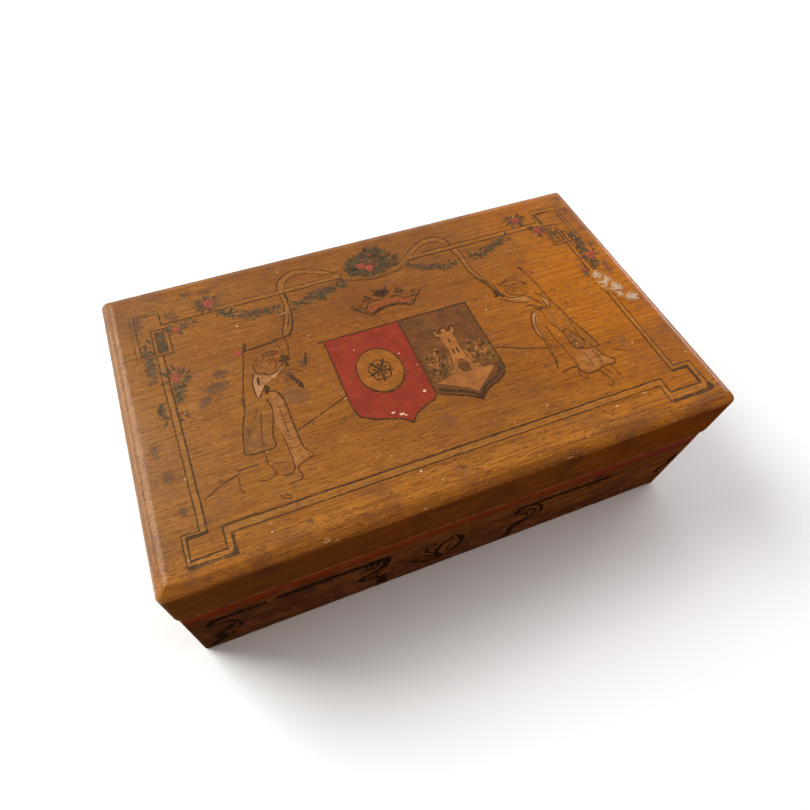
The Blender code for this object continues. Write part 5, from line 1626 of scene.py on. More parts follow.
def printed_dots(make, across, along):
    """1 in round dots set in alternate rows, 0 between them."""
    row = make.math("FLOOR", make.math("DIVIDE", along, DOT_PITCH / 2))
    shift = make.math("FRACT", make.times(row, 0.5))
    u = make.math("FRACT", make.math("DIVIDE", across, DOT_PITCH))
    u = make.math("FRACT", make.plus(u, shift))
    v = make.math("FRACT", make.math("DIVIDE", along, DOT_PITCH / 2))
    from_u = make.size(make.plus(u, -0.5))
    from_v = make.times(make.size(make.plus(v, -0.5)), 0.5)
    squares = make.plus(make.math("POWER", from_u, 2.0), make.math("POWER", from_v, 2.0))
    return make.step(make.math("SQRT", squares), 0.15, 0.12)


def woven(name, colour, dark, thread=0.45, sheen=0.25, marks=None):
    """Woven cloth. The mesh attributes across and along give each place on the cloth, in millimetres.
    marks, if any, is the colour of small round dots printed on it."""
    make = Material(name)
    across, along = make.attribute("across"), make.attribute("along")
    place = make.place()
    turn = math.tau / thread
    weave = make.times(make.math("SINE", make.times(across, turn)),
                       make.math("SINE", make.times(along, turn)))
    fade = make.noise(place, 110, 4, 0.65, 0.4)
    shade = make.mix(make.step(fade, 0.35, 0.68), colour, dark)
    if marks:
        shade = make.lay(shade, marks, printed_dots(make, across, along), 0.85)
    lint = make.noise(place, 2600, 2, 0.7)
    raised = make.times(make.step(weave, 0.0, 0.9), 0.22)
    shade = make.mix(raised, shade, (0.9, 0.8, 0.7), "SOFT_LIGHT")
    shade = make.lay(shade, dark, make.step(lint, 0.30, 0.62), 0.30)
    soil = make.step(make.noise(place, 60, 5, 0.7), 0.55, 0.75)
    shade = make.lay(shade, (0.08, 0.045, 0.025), soil, 0.35)
    relief = make.plus(make.times(weave, 0.35), make.times(lint, 0.9))
    return make.surface(shade, 0.88, relief, 0.00010,
                        {"Specular IOR Level": 0.15, "Sheen Weight": sheen, "Sheen Roughness": 0.45})


def crazed(make, place):
    """1 along the fine cracks of old paint, 0 between them."""
    wander = make.add("ShaderNodeTexNoise")
    wander.inputs["Scale"].default_value = 420
    wander.inputs["Detail"].default_value = 3
    make.feed(wander.inputs["Vector"], place)
    shrunk = make.add("ShaderNodeVectorMath", operation="SCALE")
    make.feed(shrunk.inputs[0], wander.outputs["Color"])
    shrunk.inputs["Scale"].default_value = 0.0016
    shifted = make.add("ShaderNodeVectorMath", operation="ADD")
    make.feed(shifted.inputs[0], place)
    make.feed(shifted.inputs[1], shrunk.outputs[0])
    cells = make.add("ShaderNodeTexVoronoi", feature="DISTANCE_TO_EDGE")
    make.feed(cells.inputs["Vector"], shifted.outputs[0])
    cells.inputs["Scale"].default_value = 330
    gaps = make.step(make.noise(place, 150, 3), 0.42, 0.62)
    return make.times(make.step(cells.outputs["Distance"], 0.022, 0.006), gaps)


def enamel(name, colour, shade, rosy=None):
    """Glossy old paint on turned wood, crazed, with rubbed spots. rosy tints it by the attribute reach."""
    make = Material(name)
    place = make.place()
    cloud = make.noise(place, 120, 4, 0.6, 0.3)
    coloured = make.mix(make.step(cloud, 0.35, 0.70), colour, shade)
    if rosy:
        coloured = make.lay(coloured, rosy, make.step(make.attribute("reach"), 0.0, 0.9), 0.62)
    cracks = crazed(make, place)
    coloured = make.lay(coloured, (0.10, 0.045, 0.020), cracks, 0.40)
    rubbed = make.step(make.noise(place, 520, 4, 0.7), 0.70, 0.73)
    coloured = make.mix(rubbed, coloured, (0.33, 0.17, 0.075))
    rough = make.line(cloud, 0.25, 0.24)
    depth = make.line(cracks, -1.0, make.times(rubbed, -1.2))
    return make.surface(coloured, rough, depth, 0.00006, {"Coat Weight": 0.25, "Coat Roughness": 0.15})


# ---------------------------------------------------------------- boards and hardware


BOARD_STEP = 2.2 * MM  # between cuts along a board
BOARD_SMOOTH = 32  # degrees


def worn_board(node, material, radius):
    """An unvarnished board with rounded, dented arrises, in the place of a CAD board."""
    low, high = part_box(node)
    bm = bmesh.new()
    size = high - low
    place = Matrix.Translation((low + high) / 2) @ Matrix.Diagonal((*size, 1))
    bmesh.ops.create_cube(bm, size=1, matrix=place)
    longest = max(range(3), key=lambda axis: size[axis])
    long_edges = [e for e in bm.edges
                  if abs((e.verts[0].co - e.verts[1].co)[longest]) > 0.9 * size[longest]]
    cuts = max(4, int(size[longest] / BOARD_STEP))
    bmesh.ops.subdivide_edges(bm, edges=long_edges, cuts=cuts, use_grid_fill=True)
    sharp = [e for e in bm.edges if len(e.link_faces) == 2 and e.calc_face_angle(0) > 0.5]
    bmesh.ops.bevel(bm, geom=sharp, offset=min(radius, min(size) * 0.3), segments=3, profile=0.5,
                    affect="EDGES")
    for vert in bm.verts:
        inward = (low + high) / 2 - vert.co
        if any(abs(vert.co[axis] - side[axis]) < radius * 0.9 for axis in range(3) for side in (low, high)):
            dent = max(0.0, noise.noise(vert.co * 320) - 0.2) * 0.35 * MM
            dent += max(0.0, noise.noise(vert.co * 900) - 0.3) * 0.25 * MM
            for axis in range(3):
                limit = max(0.0, abs(inward[axis]) - 0.1 * MM)
                vert.co[axis] += math.copysign(min(dent, limit), inward[axis])
    add_piece(node + "_board", bm, material, "box_base", "plain_wood", (node,), BOARD_SMOOTH)


def finish_cad(node, material):
    """Gives a CAD node that already has its true shape a better material and smooth shading."""
    obj = nodes[node]
    obj.data.materials.clear()
    obj.data.materials.append(material)
    smooth(obj, 35)


DOME = ((0.25, 0.975), (0.5, 0.88), (0.72, 0.70), (0.88, 0.46), (0.97, 0.24))  # shares of radius and height
LEAST_SLOTTED = 1.4 * MM  # the radius of the smallest head that has a slot


def slotted_head(node, way, material, body):
    """A screw or a tack whose domed head faces the way given. A screw has a slot, turned at random."""
    low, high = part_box(node)
    axis = Vector(way)
    flat_axis = next(index for index in range(3) if abs(axis[index]) < 0.5)
    radius = (high[flat_axis] - low[flat_axis]) / 2
    dome = 0.55 * radius
    tip = dome - abs((high - low).dot(axis))
    shank = radius * 0.5
    profile = [(share * radius, dome * rise) for share, rise in DOME]
    profile += [(radius, 0.14 * radius), (radius, 0.0), (shank, 0.0), (shank, tip + shank),
                (shank * 0.15, tip)]
    bm = bmesh.new()
    loft(bm, [level_ring(reach, height, 28) for reach, height in profile])
    obj = add_piece(node + "_head", bm, material, None, smooth_over=30)
    if radius > LEAST_SLOTTED:
        cutter = box_cutter((2.4 * radius, 0.26 * radius, dome * 1.1), (0, 0, 0), material)
        cutter.location.z = dome * 1.12
        cutter.rotation_euler.z = random.Random(node).uniform(0, math.pi)
        cut_out(obj, [cutter])
        obj.data.set_sharp_from_angle(angle=math.radians(30))
    centre = (low + high) / 2
    head_end = max(low.dot(axis), high.dot(axis)) - dome
    spot = centre + axis * (head_end - centre.dot(axis))
    obj.data.transform(Matrix.Translation(spot) @ axis.to_track_quat("Z", "Y").to_matrix().to_4x4())
    hand_over(obj, body, "brass", (node,))


def make_catch_strip(material):
    """The bowed strip on the front lip, bent in smooth curves."""
    low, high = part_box("catch_spring")
    lip_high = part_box("base_front_lip")[1]
    thick = 0.4 * MM
    half = (high.x - low.x) / 2
    foot_y = lip_high.y + 0.3 * MM + thick / 2
    bow_y = low.y + thick / 2
    top = lip_high.z + 0.3 * MM
    corners = [(foot_y, low.z), (foot_y, (low.z + top) / 2), (foot_y, top)]
    corners += [(bow_y + 1.2 * MM, top + 1.2 * MM), (bow_y, top + 3.5 * MM)]
    corners += [(bow_y + 0.6 * MM, top + 5.2 * MM), (bow_y + 2.2 * MM, high.z - 0.1 * MM)]
    line = smooth_trace([(y * 1000, z * 1000) for y, z in corners], False)
    rings = []
    for index, spot in enumerate(line):
        ahead = line[min(index + 1, len(line) - 1)] - line[max(index - 1, 0)]
        side = Vector((-ahead.y, ahead.x)).normalized() * thick / 2
        y, z = spot.x * MM, spot.y * MM
        narrow = half - 0.8 * MM * ease((index / len(line) - 0.75) * 4)
        sides = ((-narrow, -1), (narrow, -1), (narrow, 1), (-narrow, 1))
        rings.append([Vector((x, y + share * side.x, z + share * side.y)) for x, share in sides])
    bm = bmesh.new()
    loft(bm, rings)
    obj = add_piece("catch_strip", bm, material, "box_base", "brass", ("catch_spring",), 30)
    bevel = obj.modifiers.new("edge", "BEVEL")
    bevel.width = 0.08 * MM
    bevel.segments = 2
    bevel.limit_method = "ANGLE"
    bevel.angle_limit = math.radians(50)


def make_hardware():
    """The hinges, the catch and every screw and tack."""
    brass = aged_metal("brass_aged", (0.62, 0.42, 0.15), (0.24, 0.145, 0.060), 0.26, 0.7)
    steel = aged_metal("steel_aged", (0.46, 0.45, 0.43), (0.20, 0.15, 0.11), 0.30, 0.5)
    back, up = (0, 1, 0), (0, 0, 1)
    for side in ("left", "right"):
        finish_cad(f"hinge_{side}_base_leaf", brass)
        finish_cad(f"hinge_{side}_lid_leaf", brass)
        finish_cad(f"hinge_{side}_pin", steel)
        for number in (1, 2):
            slotted_head(f"hinge_{side}_base_screw_{number}", back, brass, "box_base")
            slotted_head(f"hinge_{side}_lid_screw_{number}", back, brass, "lid")
    for number in (1, 2):
        slotted_head(f"catch_spring_tack_{number}", back, brass, "box_base")
        slotted_head(f"jack_base_screw_{number}", up, brass, "box_base")
    slotted_head("lid_catch_plate_tack", back, brass, "lid")
    finish_cad("lid_catch_plate", brass)
    make_catch_strip(brass)


def make_inside():
    """The unvarnished boards and the lining paper."""
    along_x = raw_wood("beech_raw_along_x", 0)
    along_y = raw_wood("beech_raw_along_y", 1)
    floor_wood = raw_wood("floor_board_raw", 0, (0.42, 0.24, 0.11), (0.22, 0.11, 0.05), 0.6)
    thin, thick = 0.6 * MM, 0.9 * MM  # how round the arrises of thin and of thick boards are
    boards = [("base_front_lip", along_x, thin), ("base_back_lip", along_x, thin),
              ("base_left_lip", along_y, thin), ("base_right_lip", along_y, thin),
              ("well_left_partition", along_y, thick), ("well_right_partition", along_y, thick),
              ("base_bottom_board", floor_wood, thin), ("jack_base_plate", along_x, thick)]
    for node, wood, radius in boards:
        worn_board(node, wood, radius)
    finish_cad("lid_lining", lining_paper())


# ---------------------------------------------------------------- the spring figure

DISC_LOW, DISC_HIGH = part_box("jack_cap_disc")
GOWN_LOW, GOWN_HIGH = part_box("jack_gown")
TORSO_LOW, TORSO_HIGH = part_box("jack_torso")
RUFF_LOW, RUFF_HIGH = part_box("jack_ruff")
HEAD_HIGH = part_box("jack_head")[1]
NOSE_LOW, NOSE_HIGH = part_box("jack_nose")
SPRING_LOW, SPRING_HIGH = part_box("jack_spring")
JACK_Y = (DISC_LOW.y + DISC_HIGH.y) / 2
HEAD_RADIUS = HEAD_HIGH.x
HEAD_CENTRE = Vector((0, JACK_Y, HEAD_HIGH.z - HEAD_RADIUS))


def rise_with_jack(obj):
    """Bakes the piece's transform into its mesh."""
    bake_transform(obj)


COIL_TURNS, DEAD_TURNS = 6.5, 0.75  # so much of a turn lies flat at either end
STEPS_PER_TURN = 44
WIRE = 0.8 * MM
COIL_FOOT, COIL_TOP = SPRING_HIGH.x - WIRE, 16.5 * MM  # radii
COIL_LOW, COIL_HIGH = SPRING_LOW.z + WIRE, SPRING_HIGH.z - WIRE


def make_spring(steel):
    """A cone of wire. Its first and last turns lie flat, as on a real compression spring."""
    count = int(COIL_TURNS * STEPS_PER_TURN)
    centres, shares = [], []
    for step in range(count + 1):
        turn = COIL_TURNS * step / count
        share = min(1.0, max(0.0, (turn - DEAD_TURNS) / (COIL_TURNS - 2 * DEAD_TURNS)))
        radius = COIL_FOOT + (COIL_TOP - COIL_FOOT) * step / count
        angle = math.tau * turn
        z = COIL_LOW + (COIL_HIGH - COIL_LOW) * share
        centres.append(Vector((radius * math.cos(angle), JACK_Y + radius * math.sin(angle), z)))
        shares.append(share)
    sides = 10
    bm = bmesh.new()
    loft(bm, tube_rings(centres, WIRE, sides))
    spring = add_piece("jack_coil", bm, steel, None, "spring_wire", ("jack_spring",), 50)
    rise_with_jack(spring)


def make_staples(steel):
    """Three staples that hold the spring's foot down on its plate."""
    foot = Vector((0, 0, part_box("jack_base_plate")[1].z - 1 * MM))
    shoulder = Vector((0, 0, COIL_LOW + 0.4 * MM))
    for number, degrees in enumerate((40, 160, 280), start=1):
        turn = math.radians(degrees)
        out = Vector((math.cos(turn), math.sin(turn), 0))
        middle = Vector((0, JACK_Y, 0)) + out * (COIL_FOOT - 0.9 * MM * degrees / 360)
        reach = out * 1.55 * MM
        arch = [middle - reach + foot, middle - reach + shoulder]
        for a in [math.radians(bend) for bend in (150, 120, 90, 60, 30)]:
            arch.append(middle + reach * math.cos(a) + shoulder + Vector((0, 0, 0.8 * MM * math.sin(a))))
        arch += [middle + reach + shoulder, middle + reach + foot]
        tube(f"spring_staple_{number}", arch, 0.38 * MM, 8, steel, "box_base", "spring_wire",
             smooth_over=50)


PUFFS = 13
RINGS_PER_PUFF = 7
GATHERS = 26
GOWN_RINGS = PUFFS * RINGS_PER_PUFF
GOWN_AROUND = GATHERS * 6
GOWN_LOWEST, GOWN_HIGHEST = GOWN_LOW.z + 0.1 * MM, GOWN_HIGH.z - 0.1 * MM
GOWN_FOOT, GOWN_TOP = GOWN_HIGH.x - 0.6 * MM, GOWN_HIGH.x - 9.2 * MM  # radii
CREASE = 4.0 * MM  # how far inside the puffs their creases lie
GOWN_THICK = 0.35 * MM


def gown_radius(ring, angle):
    """How far the sleeve reaches: full in the middle of a puff, drawn in at its creases, gathered."""
    puff = ring // RINGS_PER_PUFF
    phase = (ring % RINGS_PER_PUFF) / RINGS_PER_PUFF
    bulge = math.sin(math.pi * phase) ** 0.75 if phase else 0.0
    outer = GOWN_FOOT + (GOWN_TOP - GOWN_FOOT) * ease(ring / GOWN_RINGS * 1.1 - 0.05)
    drift = noise.noise(Vector((math.cos(angle) * 1.3, math.sin(angle) * 1.3, puff * 3.7)))
    gather = 0.5 + 0.5 * math.cos(GATHERS * angle + puff * 1.3 + 1.5 * drift)
    swell = bulge * (CREASE + drift * 0.5 * MM - 0.55 * MM * gather)
    return outer - CREASE + swell - 0.25 * MM * gather


def make_gown(cloth, tape_cloth):
    """The cloth sleeve round the spring: puffs between drawn-in creases, pressed together at rest."""
    angles = whole_turn(GOWN_AROUND)
    rings, shares, across, along = [], [], [], []
    run = 0.0
    for ring in range(GOWN_RINGS + 1):
        share = ring / GOWN_RINGS
        z = GOWN_LOWEST + (GOWN_HIGHEST - GOWN_LOWEST) * share
        radii = [gown_radius(ring, a) for a in angles]
        rings.append([Vector((r * math.cos(a), JACK_Y + r * math.sin(a), z)) for r,
                      a in zip(radii, angles)])
        if ring:
            run += (rings[-1][0] - rings[-2][0]).length
        shares.append(share)
        across += [GOWN_FOOT * a / MM for a in angles]
        along += [run / MM] * GOWN_AROUND
    shrink = 1 - GOWN_THICK / GOWN_FOOT
    inner = [[Vector((p.x * shrink, JACK_Y + (p.y - JACK_Y) * shrink, p.z)) for p in ring]
             for ring in rings]
    bm = bmesh.new()
    loft(bm, rings + inner[::-1], closed=True)
    gown = add_piece("jack_gown_cloth", bm, cloth, None, "gown_cloth", ("jack_gown",), 70)
    set_attribute(gown, "across", across + across[::-1])
    set_attribute(gown, "along", along + along[::-1])
    rise_with_jack(gown)
    make_tape("gown_foot_tape", "box_base", GOWN_FOOT - CREASE + 0.3 * MM, GOWN_LOWEST + 0.2 * MM,
              tape_cloth)
    make_tape("gown_top_tape", "jack", GOWN_TOP - CREASE + 0.9 * MM, GOWN_HIGHEST - 0.3 * MM, tape_cloth)


def make_tape(name, body, radius, z, cloth):
    """A twisted tape that holds one edge of the sleeve."""
    steps, sides = 180, 10
    centres = []
    for a in whole_turn(steps):
        wavy = radius + 0.12 * MM * math.sin(a * 60)
        centres.append(Vector((wavy * math.cos(a), JACK_Y + wavy * math.sin(a), z)))
    tape = tube(name, centres, 0.75 * MM, sides, cloth, body, "ruff_cloth", 0.8, True)
    number_threads(tape, sides, math.tau * radius / steps / MM, 0.4, swapped=True)


def number_threads(obj, per_ring, across_step, along_step, swapped=False):
    """Gives a lofted cloth piece its across and along attributes, in millimetres, from the order of its
    points. swapped is for a tube whose rings follow each other along the weft."""
    count = len(obj.data.vertices)
    within = [index % per_ring for index in range(count)]
    ring = [index // per_ring for index in range(count)]
    if swapped:
        within, ring = ring, within
    set_attribute(obj, "across", [place * across_step for place in within])
    set_attribute(obj, "along", [place * along_step for place in ring])


def cloth_coordinates(obj, centre):
    """Gives a rounded cloth piece its attributes across and along, in millimetres, by angle and height."""
    across, along = [], []
    for vert in obj.data.vertices:
        from_centre = vert.co - centre
        flat = math.hypot(from_centre.x, from_centre.y)
        across.append(math.atan2(from_centre.x, -from_centre.y) * 20.0)
        along.append((from_centre.z - flat * 0.6) / MM)
    set_attribute(obj, "across", across)
    set_attribute(obj, "along", along)


JACKET_PROFILE = ((0.20, 0.02), (0.80, 0.0), (0.93, 0.02), (0.985, 0.08), (0.995, 0.15), (0.965, 0.21),
                  (0.955, 0.26), (0.975, 0.34), (0.985, 0.45), (0.975, 0.56))  # shares of radius and height
JACKET_RADIUS = TORSO_HIGH.x
JACKET_HEIGHT = TORSO_HIGH.z - TORSO_LOW.z
JACKET_FLAT = (TORSO_HIGH.y - TORSO_LOW.y) / (TORSO_HIGH.x - TORSO_LOW.x)
JACKET_FOOT = Vector((0, JACK_Y, TORSO_LOW.z))
JACKET_FRONT = Vector((0, JACK_Y - JACKET_RADIUS * JACKET_FLAT, TORSO_LOW.z))


def jacket_place(a, share, rise):
    """A place on the jacket, drawn in at its side seams and beside its placket, and puckered at its hem."""
    pull = sum(math.exp(-(math.remainder(a - seam, math.tau) / 0.05) ** 2) for seam in (0.0, math.pi))
    front = abs(math.remainder(a + math.pi / 2, math.tau))
    pull += 0.8 * math.exp(-((front - 0.17) / 0.03) ** 2)
    bulk = noise.noise(Vector((math.cos(a) * 2, math.sin(a) * 2, rise * 2.0 + 9)))
    pucker = 0.5 + 0.5 * math.cos(a * 46 + bulk * 4)
    hem = math.exp(-((rise - 0.23) / 0.09) ** 2)
    inward = 0.018 * pull + 0.012 * (0.5 + bulk) + 0.012 * pucker * hem
    r = JACKET_RADIUS * share * (1 - inward * (share > 0.5))
    z = TORSO_LOW.z + JACKET_HEIGHT * (rise - (0.035 * pull + 0.02 * (0.5 + bulk)) * (rise > 0.6))
    return Vector((r * math.cos(a), JACK_Y + r * math.sin(a) * JACKET_FLAT, z))


def make_torso(cloth, trim, brass):
    """A stuffed jacket: full shoulders, a rolled hem, a placket with three buttons and sewn side seams."""
    shoulder = [math.radians(90 * step / 8) for step in range(1, 9)]
    profile = list(JACKET_PROFILE)
    profile += [(0.50 + 0.475 * math.cos(bend), 0.56 + 0.40 * math.sin(bend)) for bend in shoulder]
    profile += [(0.36, 0.985), (0.26, 0.99), (0.20, 0.97)]
    bm = bmesh.new()
    loft(bm, [[jacket_place(a, share, rise) for a in whole_turn(144)] for share, rise in profile],
         closed=True)
    torso = add_piece("jack_jacket", bm, cloth, "jack", "gown_cloth", ("jack_torso",), 60)
    cloth_coordinates(torso, JACKET_FOOT)
    make_braid("left", -3.1, trim)
    make_braid("right", 3.1, trim)
    for number, share in enumerate((0.14, 0.42, 0.66), start=1):
        make_button(number, share, brass)


def make_braid(side, x, trim):
    """A cord along one edge of the placket, x millimetres from the middle."""
    route = [(x, 0.35, 2.4), (x, 0.10, 4.4), (x * 0.95, 1.0, 7.4), (x * 0.9, 4.2, 9.25),
             (x * 0.85, 7.4, 9.5)]
    centres = bezier([JACKET_FRONT + Vector(corner) * MM for corner in route], 30)
    centres = [spot + Vector((0.15 * MM * math.sin(index * 1.6), 0, 0)) for index,
               spot in enumerate(centres)]
    braid = tube(f"jack_braid_{side}", centres, 0.42 * MM, 8, trim, "jack", "ruff_cloth")
    cloth_coordinates(braid, JACKET_FOOT)


def make_button(number, share, brass):
    """A domed button, that share of the way up the placket."""
    route = [(0, 0.2, 2.6), (0, -0.1, 5), (0, 0.9, 8.2), (0, 5.4, 9.2)]
    place = bezier([JACKET_FRONT + Vector(corner) * MM for corner in route], 50)[int(share * 50)]
    tilt = math.radians(10 + 75 * share)
    out = Vector((0, -math.cos(tilt), math.sin(tilt)))
    turn = out.to_track_quat("Z", "Y").to_matrix().to_4x4()
    dome = ((0.15, 0.62), (0.45, 0.58), (0.8, 0.42), (1.02, 0.2), (1.05, 0.02), (0.9, -0.2), (0.3, -0.25))
    bm = bmesh.new()
    loft(bm, [level_ring(reach * MM, height * MM, 24) for reach, height in dome])
    bmesh.ops.transform(bm, matrix=Matrix.Translation(place + out * 0.35 * MM) @ turn, verts=bm.verts)
    add_piece(f"jack_button_{number}", bm, brass, "jack", "brass", smooth_over=50)


UP = Vector((0, 0, 1))


def make_arm(side, sign, cloth, trim, skin):
    """A bent arm that reaches forward, with its cuff and its hand."""
    z = TORSO_LOW.z + 5.0 * MM
    reach = TORSO_HIGH.x
    shoulder = (sign * (reach - 3.6 * MM), JACK_Y, z)
    elbow = (sign * (reach + 15.5 * MM), JACK_Y + 1.0 * MM, z)
    wrist = (sign * (reach + 11.5 * MM), JACK_Y - 15.0 * MM, z)
    route = bezier((shoulder, elbow, elbow, wrist), 44)
    ahead = (route[-1] - route[-4]).normalized()
    make_sleeve(side, sign, route, cloth)
    make_cuff(side, route[-1], ahead, trim)
    make_hand(side, sign, route[-1] - ahead * 0.6 * MM, ahead, skin)


def make_sleeve(side, sign, route, cloth):
    """A stuffed sleeve with drag lines inside the elbow."""
    sides = 28
    rings = []
    for index, ring in enumerate(tube_rings(route, 1.0, sides)):
        t = index / (len(route) - 1)
        base = (4.25 - 1.15 * t) * MM
        centre = route[index]
        placed = []
        for spot in ring:
            way = spot - centre
            inside = max(0.0, -way.x * sign)
            fold = math.sin(t * 52 + 2.0 * noise.noise(way * 1.4 + Vector((t * 5, sign, 0))))
            crease = 0.30 * MM * fold * inside * math.exp(-((t - 0.52) / 0.22) ** 2)
            lump = 0.22 * MM * noise.noise(Vector((way.x * 1.5, way.y * 1.5, t * 9 + sign)))
            shrink = 1.6 * MM * math.exp(-(t / 0.045) ** 2)
            shrink += 0.35 * MM * math.exp(-((t - 0.93) / 0.03) ** 2)
            placed.append(centre + way * (base + crease + lump - shrink))
        rings.append(placed)
    bm = bmesh.new()
    loft(bm, rings)
    sleeve = add_piece(f"jack_{side}_sleeve", bm, cloth, "jack", "hat_cloth", (f"jack_{side}_arm",), 70)
    number_threads(sleeve, sides, 0.9, 0.62)


def make_cuff(side, wrist, ahead, trim):
    """A flared frill round the wrist."""
    sides = 60
    across = ahead.cross(UP).normalized()
    rings = []
    for out, push in ((0.0, -1.6), (0.35, -1.1), (0.75, -0.3), (1.35, 0.3), (1.3, 0.55), (0.6, 0.0),
                      (0.1, -0.5), (-0.3, -1.4)):
        ring = []
        for a in whole_turn(sides):
            frill = 0.28 * math.sin(a * 12) * max(0.0, out)
            way = across * math.cos(a) + UP * math.sin(a)
            ring.append(wrist + way * ((3.0 + out) * MM) + ahead * (push + frill) * MM)
        rings.append(ring)
    bm = bmesh.new()
    loft(bm, rings, closed=True)
    cuff = add_piece(f"jack_{side}_cuff", bm, trim, "jack", "ruff_cloth", smooth_over=60)
    number_threads(cuff, sides, 0.32, 0.5)


def make_hand(side, sign, start, ahead, skin):
    """A hand: palm, four fingers held together and a thumb, melted into one form."""
    inner = -sign * Vector((1, 0, 0))
    bm = bmesh.new()
    palm = [start + ahead * d * MM for d in (0.0, 1.2, 2.6, 4.2, 5.6)]
    loft(bm, tube_rings(palm, [2.0 * MM, 2.2 * MM, 2.75 * MM, 2.9 * MM, 2.3 * MM], 16))
    for row in range(4):
        height = (row - 1.5) * 1.15 * MM
        short = abs(row - 1.3)
        finger = [start + ahead * d * MM + UP * height + inner * (0.05 * d * d * 0.25) * MM
                  for d in (3.6, 5.4, 6.8 - 0.35 * short, 8.1 - 0.45 * short)]
        loft(bm, tube_rings(finger, [0.8 * MM, 0.78 * MM, 0.72 * MM, 0.42 * MM], 10))
    bends = ((2.0, 1.6, 0.0), (3.6, 3.0, 0.5), (5.4, 3.7, 0.8))
    thumb = [start + ahead * d * MM + UP * rise * MM + inner * bend * MM for d, rise, bend in bends]
    loft(bm, tube_rings(thumb, [1.0 * MM, 0.92 * MM, 0.55 * MM], 10))
    hand = add_piece(f"jack_{side}_mitten", bm, skin, "jack", "painted_skin", (f"jack_{side}_hand",), 60)
    melted(hand, 0.26 * MM, 4)


PLEATS = 22


def make_ruff(cloth):
    """A collar in deep figure-of-eight pleats with a scalloped edge."""
    around = PLEATS * 14
    inner, outer = 4.7 * MM, 16.8 * MM
    middle = (RUFF_LOW.z + RUFF_HIGH.z) / 2
    half_thick = 0.11 * MM
    steps = 16
    top, bottom, across, along = [], [], [], []
    for step in range(steps + 1):
        t = step / steps
        radius = inner + (outer - inner) * t
        wave = 0.10 * MM + 0.92 * MM * ease(t * 1.25)
        upper, lower = [], []
        for a in whole_turn(around):
            swing = a + 0.018 * math.sin(PLEATS * a * 2) * t
            edge = 0.35 * MM * math.cos(PLEATS * 2 * a) * ease((t - 0.8) * 5)
            uneven = 0.14 * MM * t * noise.noise(Vector((math.cos(a) * 3, math.sin(a) * 3, 1.0)))
            z = middle + wave * math.sin(PLEATS * a) + uneven
            x, y = (radius + edge) * math.cos(swing), JACK_Y + (radius + edge) * math.sin(swing)
            upper.append(Vector((x, y, z + half_thick)))
            lower.append(Vector((x, y, z - half_thick)))
            across.append(a * 14)
        along.append([radius / MM] * around)
        top.append(upper)
        bottom.append(lower)
    bm = bmesh.new()
    loft(bm, top + bottom[::-1], closed=True)
    ruff = add_piece("jack_collar", bm, cloth, "jack", "ruff_cloth", ("jack_ruff",), 60)
    set_attribute(ruff, "across", across + across)
    set_attribute(ruff, "along", sum(along + along[::-1], []))


EYE_X, EYE_Z = 4.7, 0.5  # the middle of an eye on the face, in millimetres
EYE_WIDE, EYE_TALL = 1.9, 1.35
FACE_UNIT = 14  # millimetres in one unit of the head's own measures


def head_radius(way):
    """How far the carved head reaches in a direction. It faces -Y and stays within the turned ball."""
    x, y, z = way
    front = max(0.0, -y)
    jaw = ease((-z - 0.15) * 1.3) * 0.085
    share = 0.968 - jaw * (1 - 0.55 * front)

    def bump(cx, cz, wide, tall, height):
        return height * math.exp(-((x - cx) / wide) ** 2 - ((z - cz) / tall) ** 2) * front

    for side in (-1, 1):
        share += bump(side * 0.46, -0.30, 0.22, 0.20, 0.034)
        share -= bump(side * EYE_X / FACE_UNIT, EYE_Z / FACE_UNIT, 0.20, 0.15, 0.022)
        share += bump(side * 0.33, 0.22, 0.20, 0.05, 0.014)
    share += bump(0, -0.66, 0.20, 0.14, 0.050)
    share += bump(0, -0.43, 0.22, 0.040, 0.018)
    share -= bump(0, -0.37, 0.20, 0.026, 0.022)
    share += bump(0, -0.315, 0.15, 0.035, 0.012)
    return HEAD_RADIUS * min(share, 0.998)


def on_face(x, z, lift):
    """A place on the head's surface, by millimetres right of and above the middle of the face."""
    side, rise = x * MM / HEAD_RADIUS, z * MM / HEAD_RADIUS
    way = Vector((math.sin(side) * math.cos(rise), -math.cos(side) * math.cos(rise), math.sin(rise)))
    return HEAD_CENTRE + way * (head_radius(way) + lift * MM)


def face_patch(bm, outline, lift, dome=0.0, rings=6):
    """A painted shape that follows the face, thicker by dome in its middle, closed on its underside."""
    x0 = sum(x for x, z in outline) / len(outline)
    z0 = sum(z for x, z in outline) / len(outline)

    def ring(share, height):
        return [on_face(x0 + (x - x0) * share, z0 + (z - z0) * share, height) for x, z in outline]

    top = [ring(max(0.04, 1 - step / rings), lift + dome * (1 - (1 - step / rings) ** 2))
           for step in range(rings + 1)]
    loft(bm, [ring(0.04, -0.5), ring(0.96, -0.5)] + top)


def face_line(bm, points, width, lift):
    """A brushed line on the face, thinner at its two ends."""
    route = smooth_trace(points, False)
    centres, radii = [], []
    for index, (x, z) in enumerate(route):
        t = index / (len(route) - 1)
        centres.append(on_face(x, z, lift))
        radii.append(width * 0.5 * MM * (0.25 + 0.75 * math.sin(math.pi * min(0.97, max(0.03, t)))))
    loft(bm, tube_rings(centres, radii, 8, 1.0))


def ball_rings(rows, columns, place):
    """Rings from the lowest to the highest, of the places that place gives for each direction."""
    latitudes = [math.pi * (row / rows - 0.5) for row in range(1, rows)]
    return [[place(direction(a, latitude)) for a in whole_turn(columns)] for latitude in latitudes]


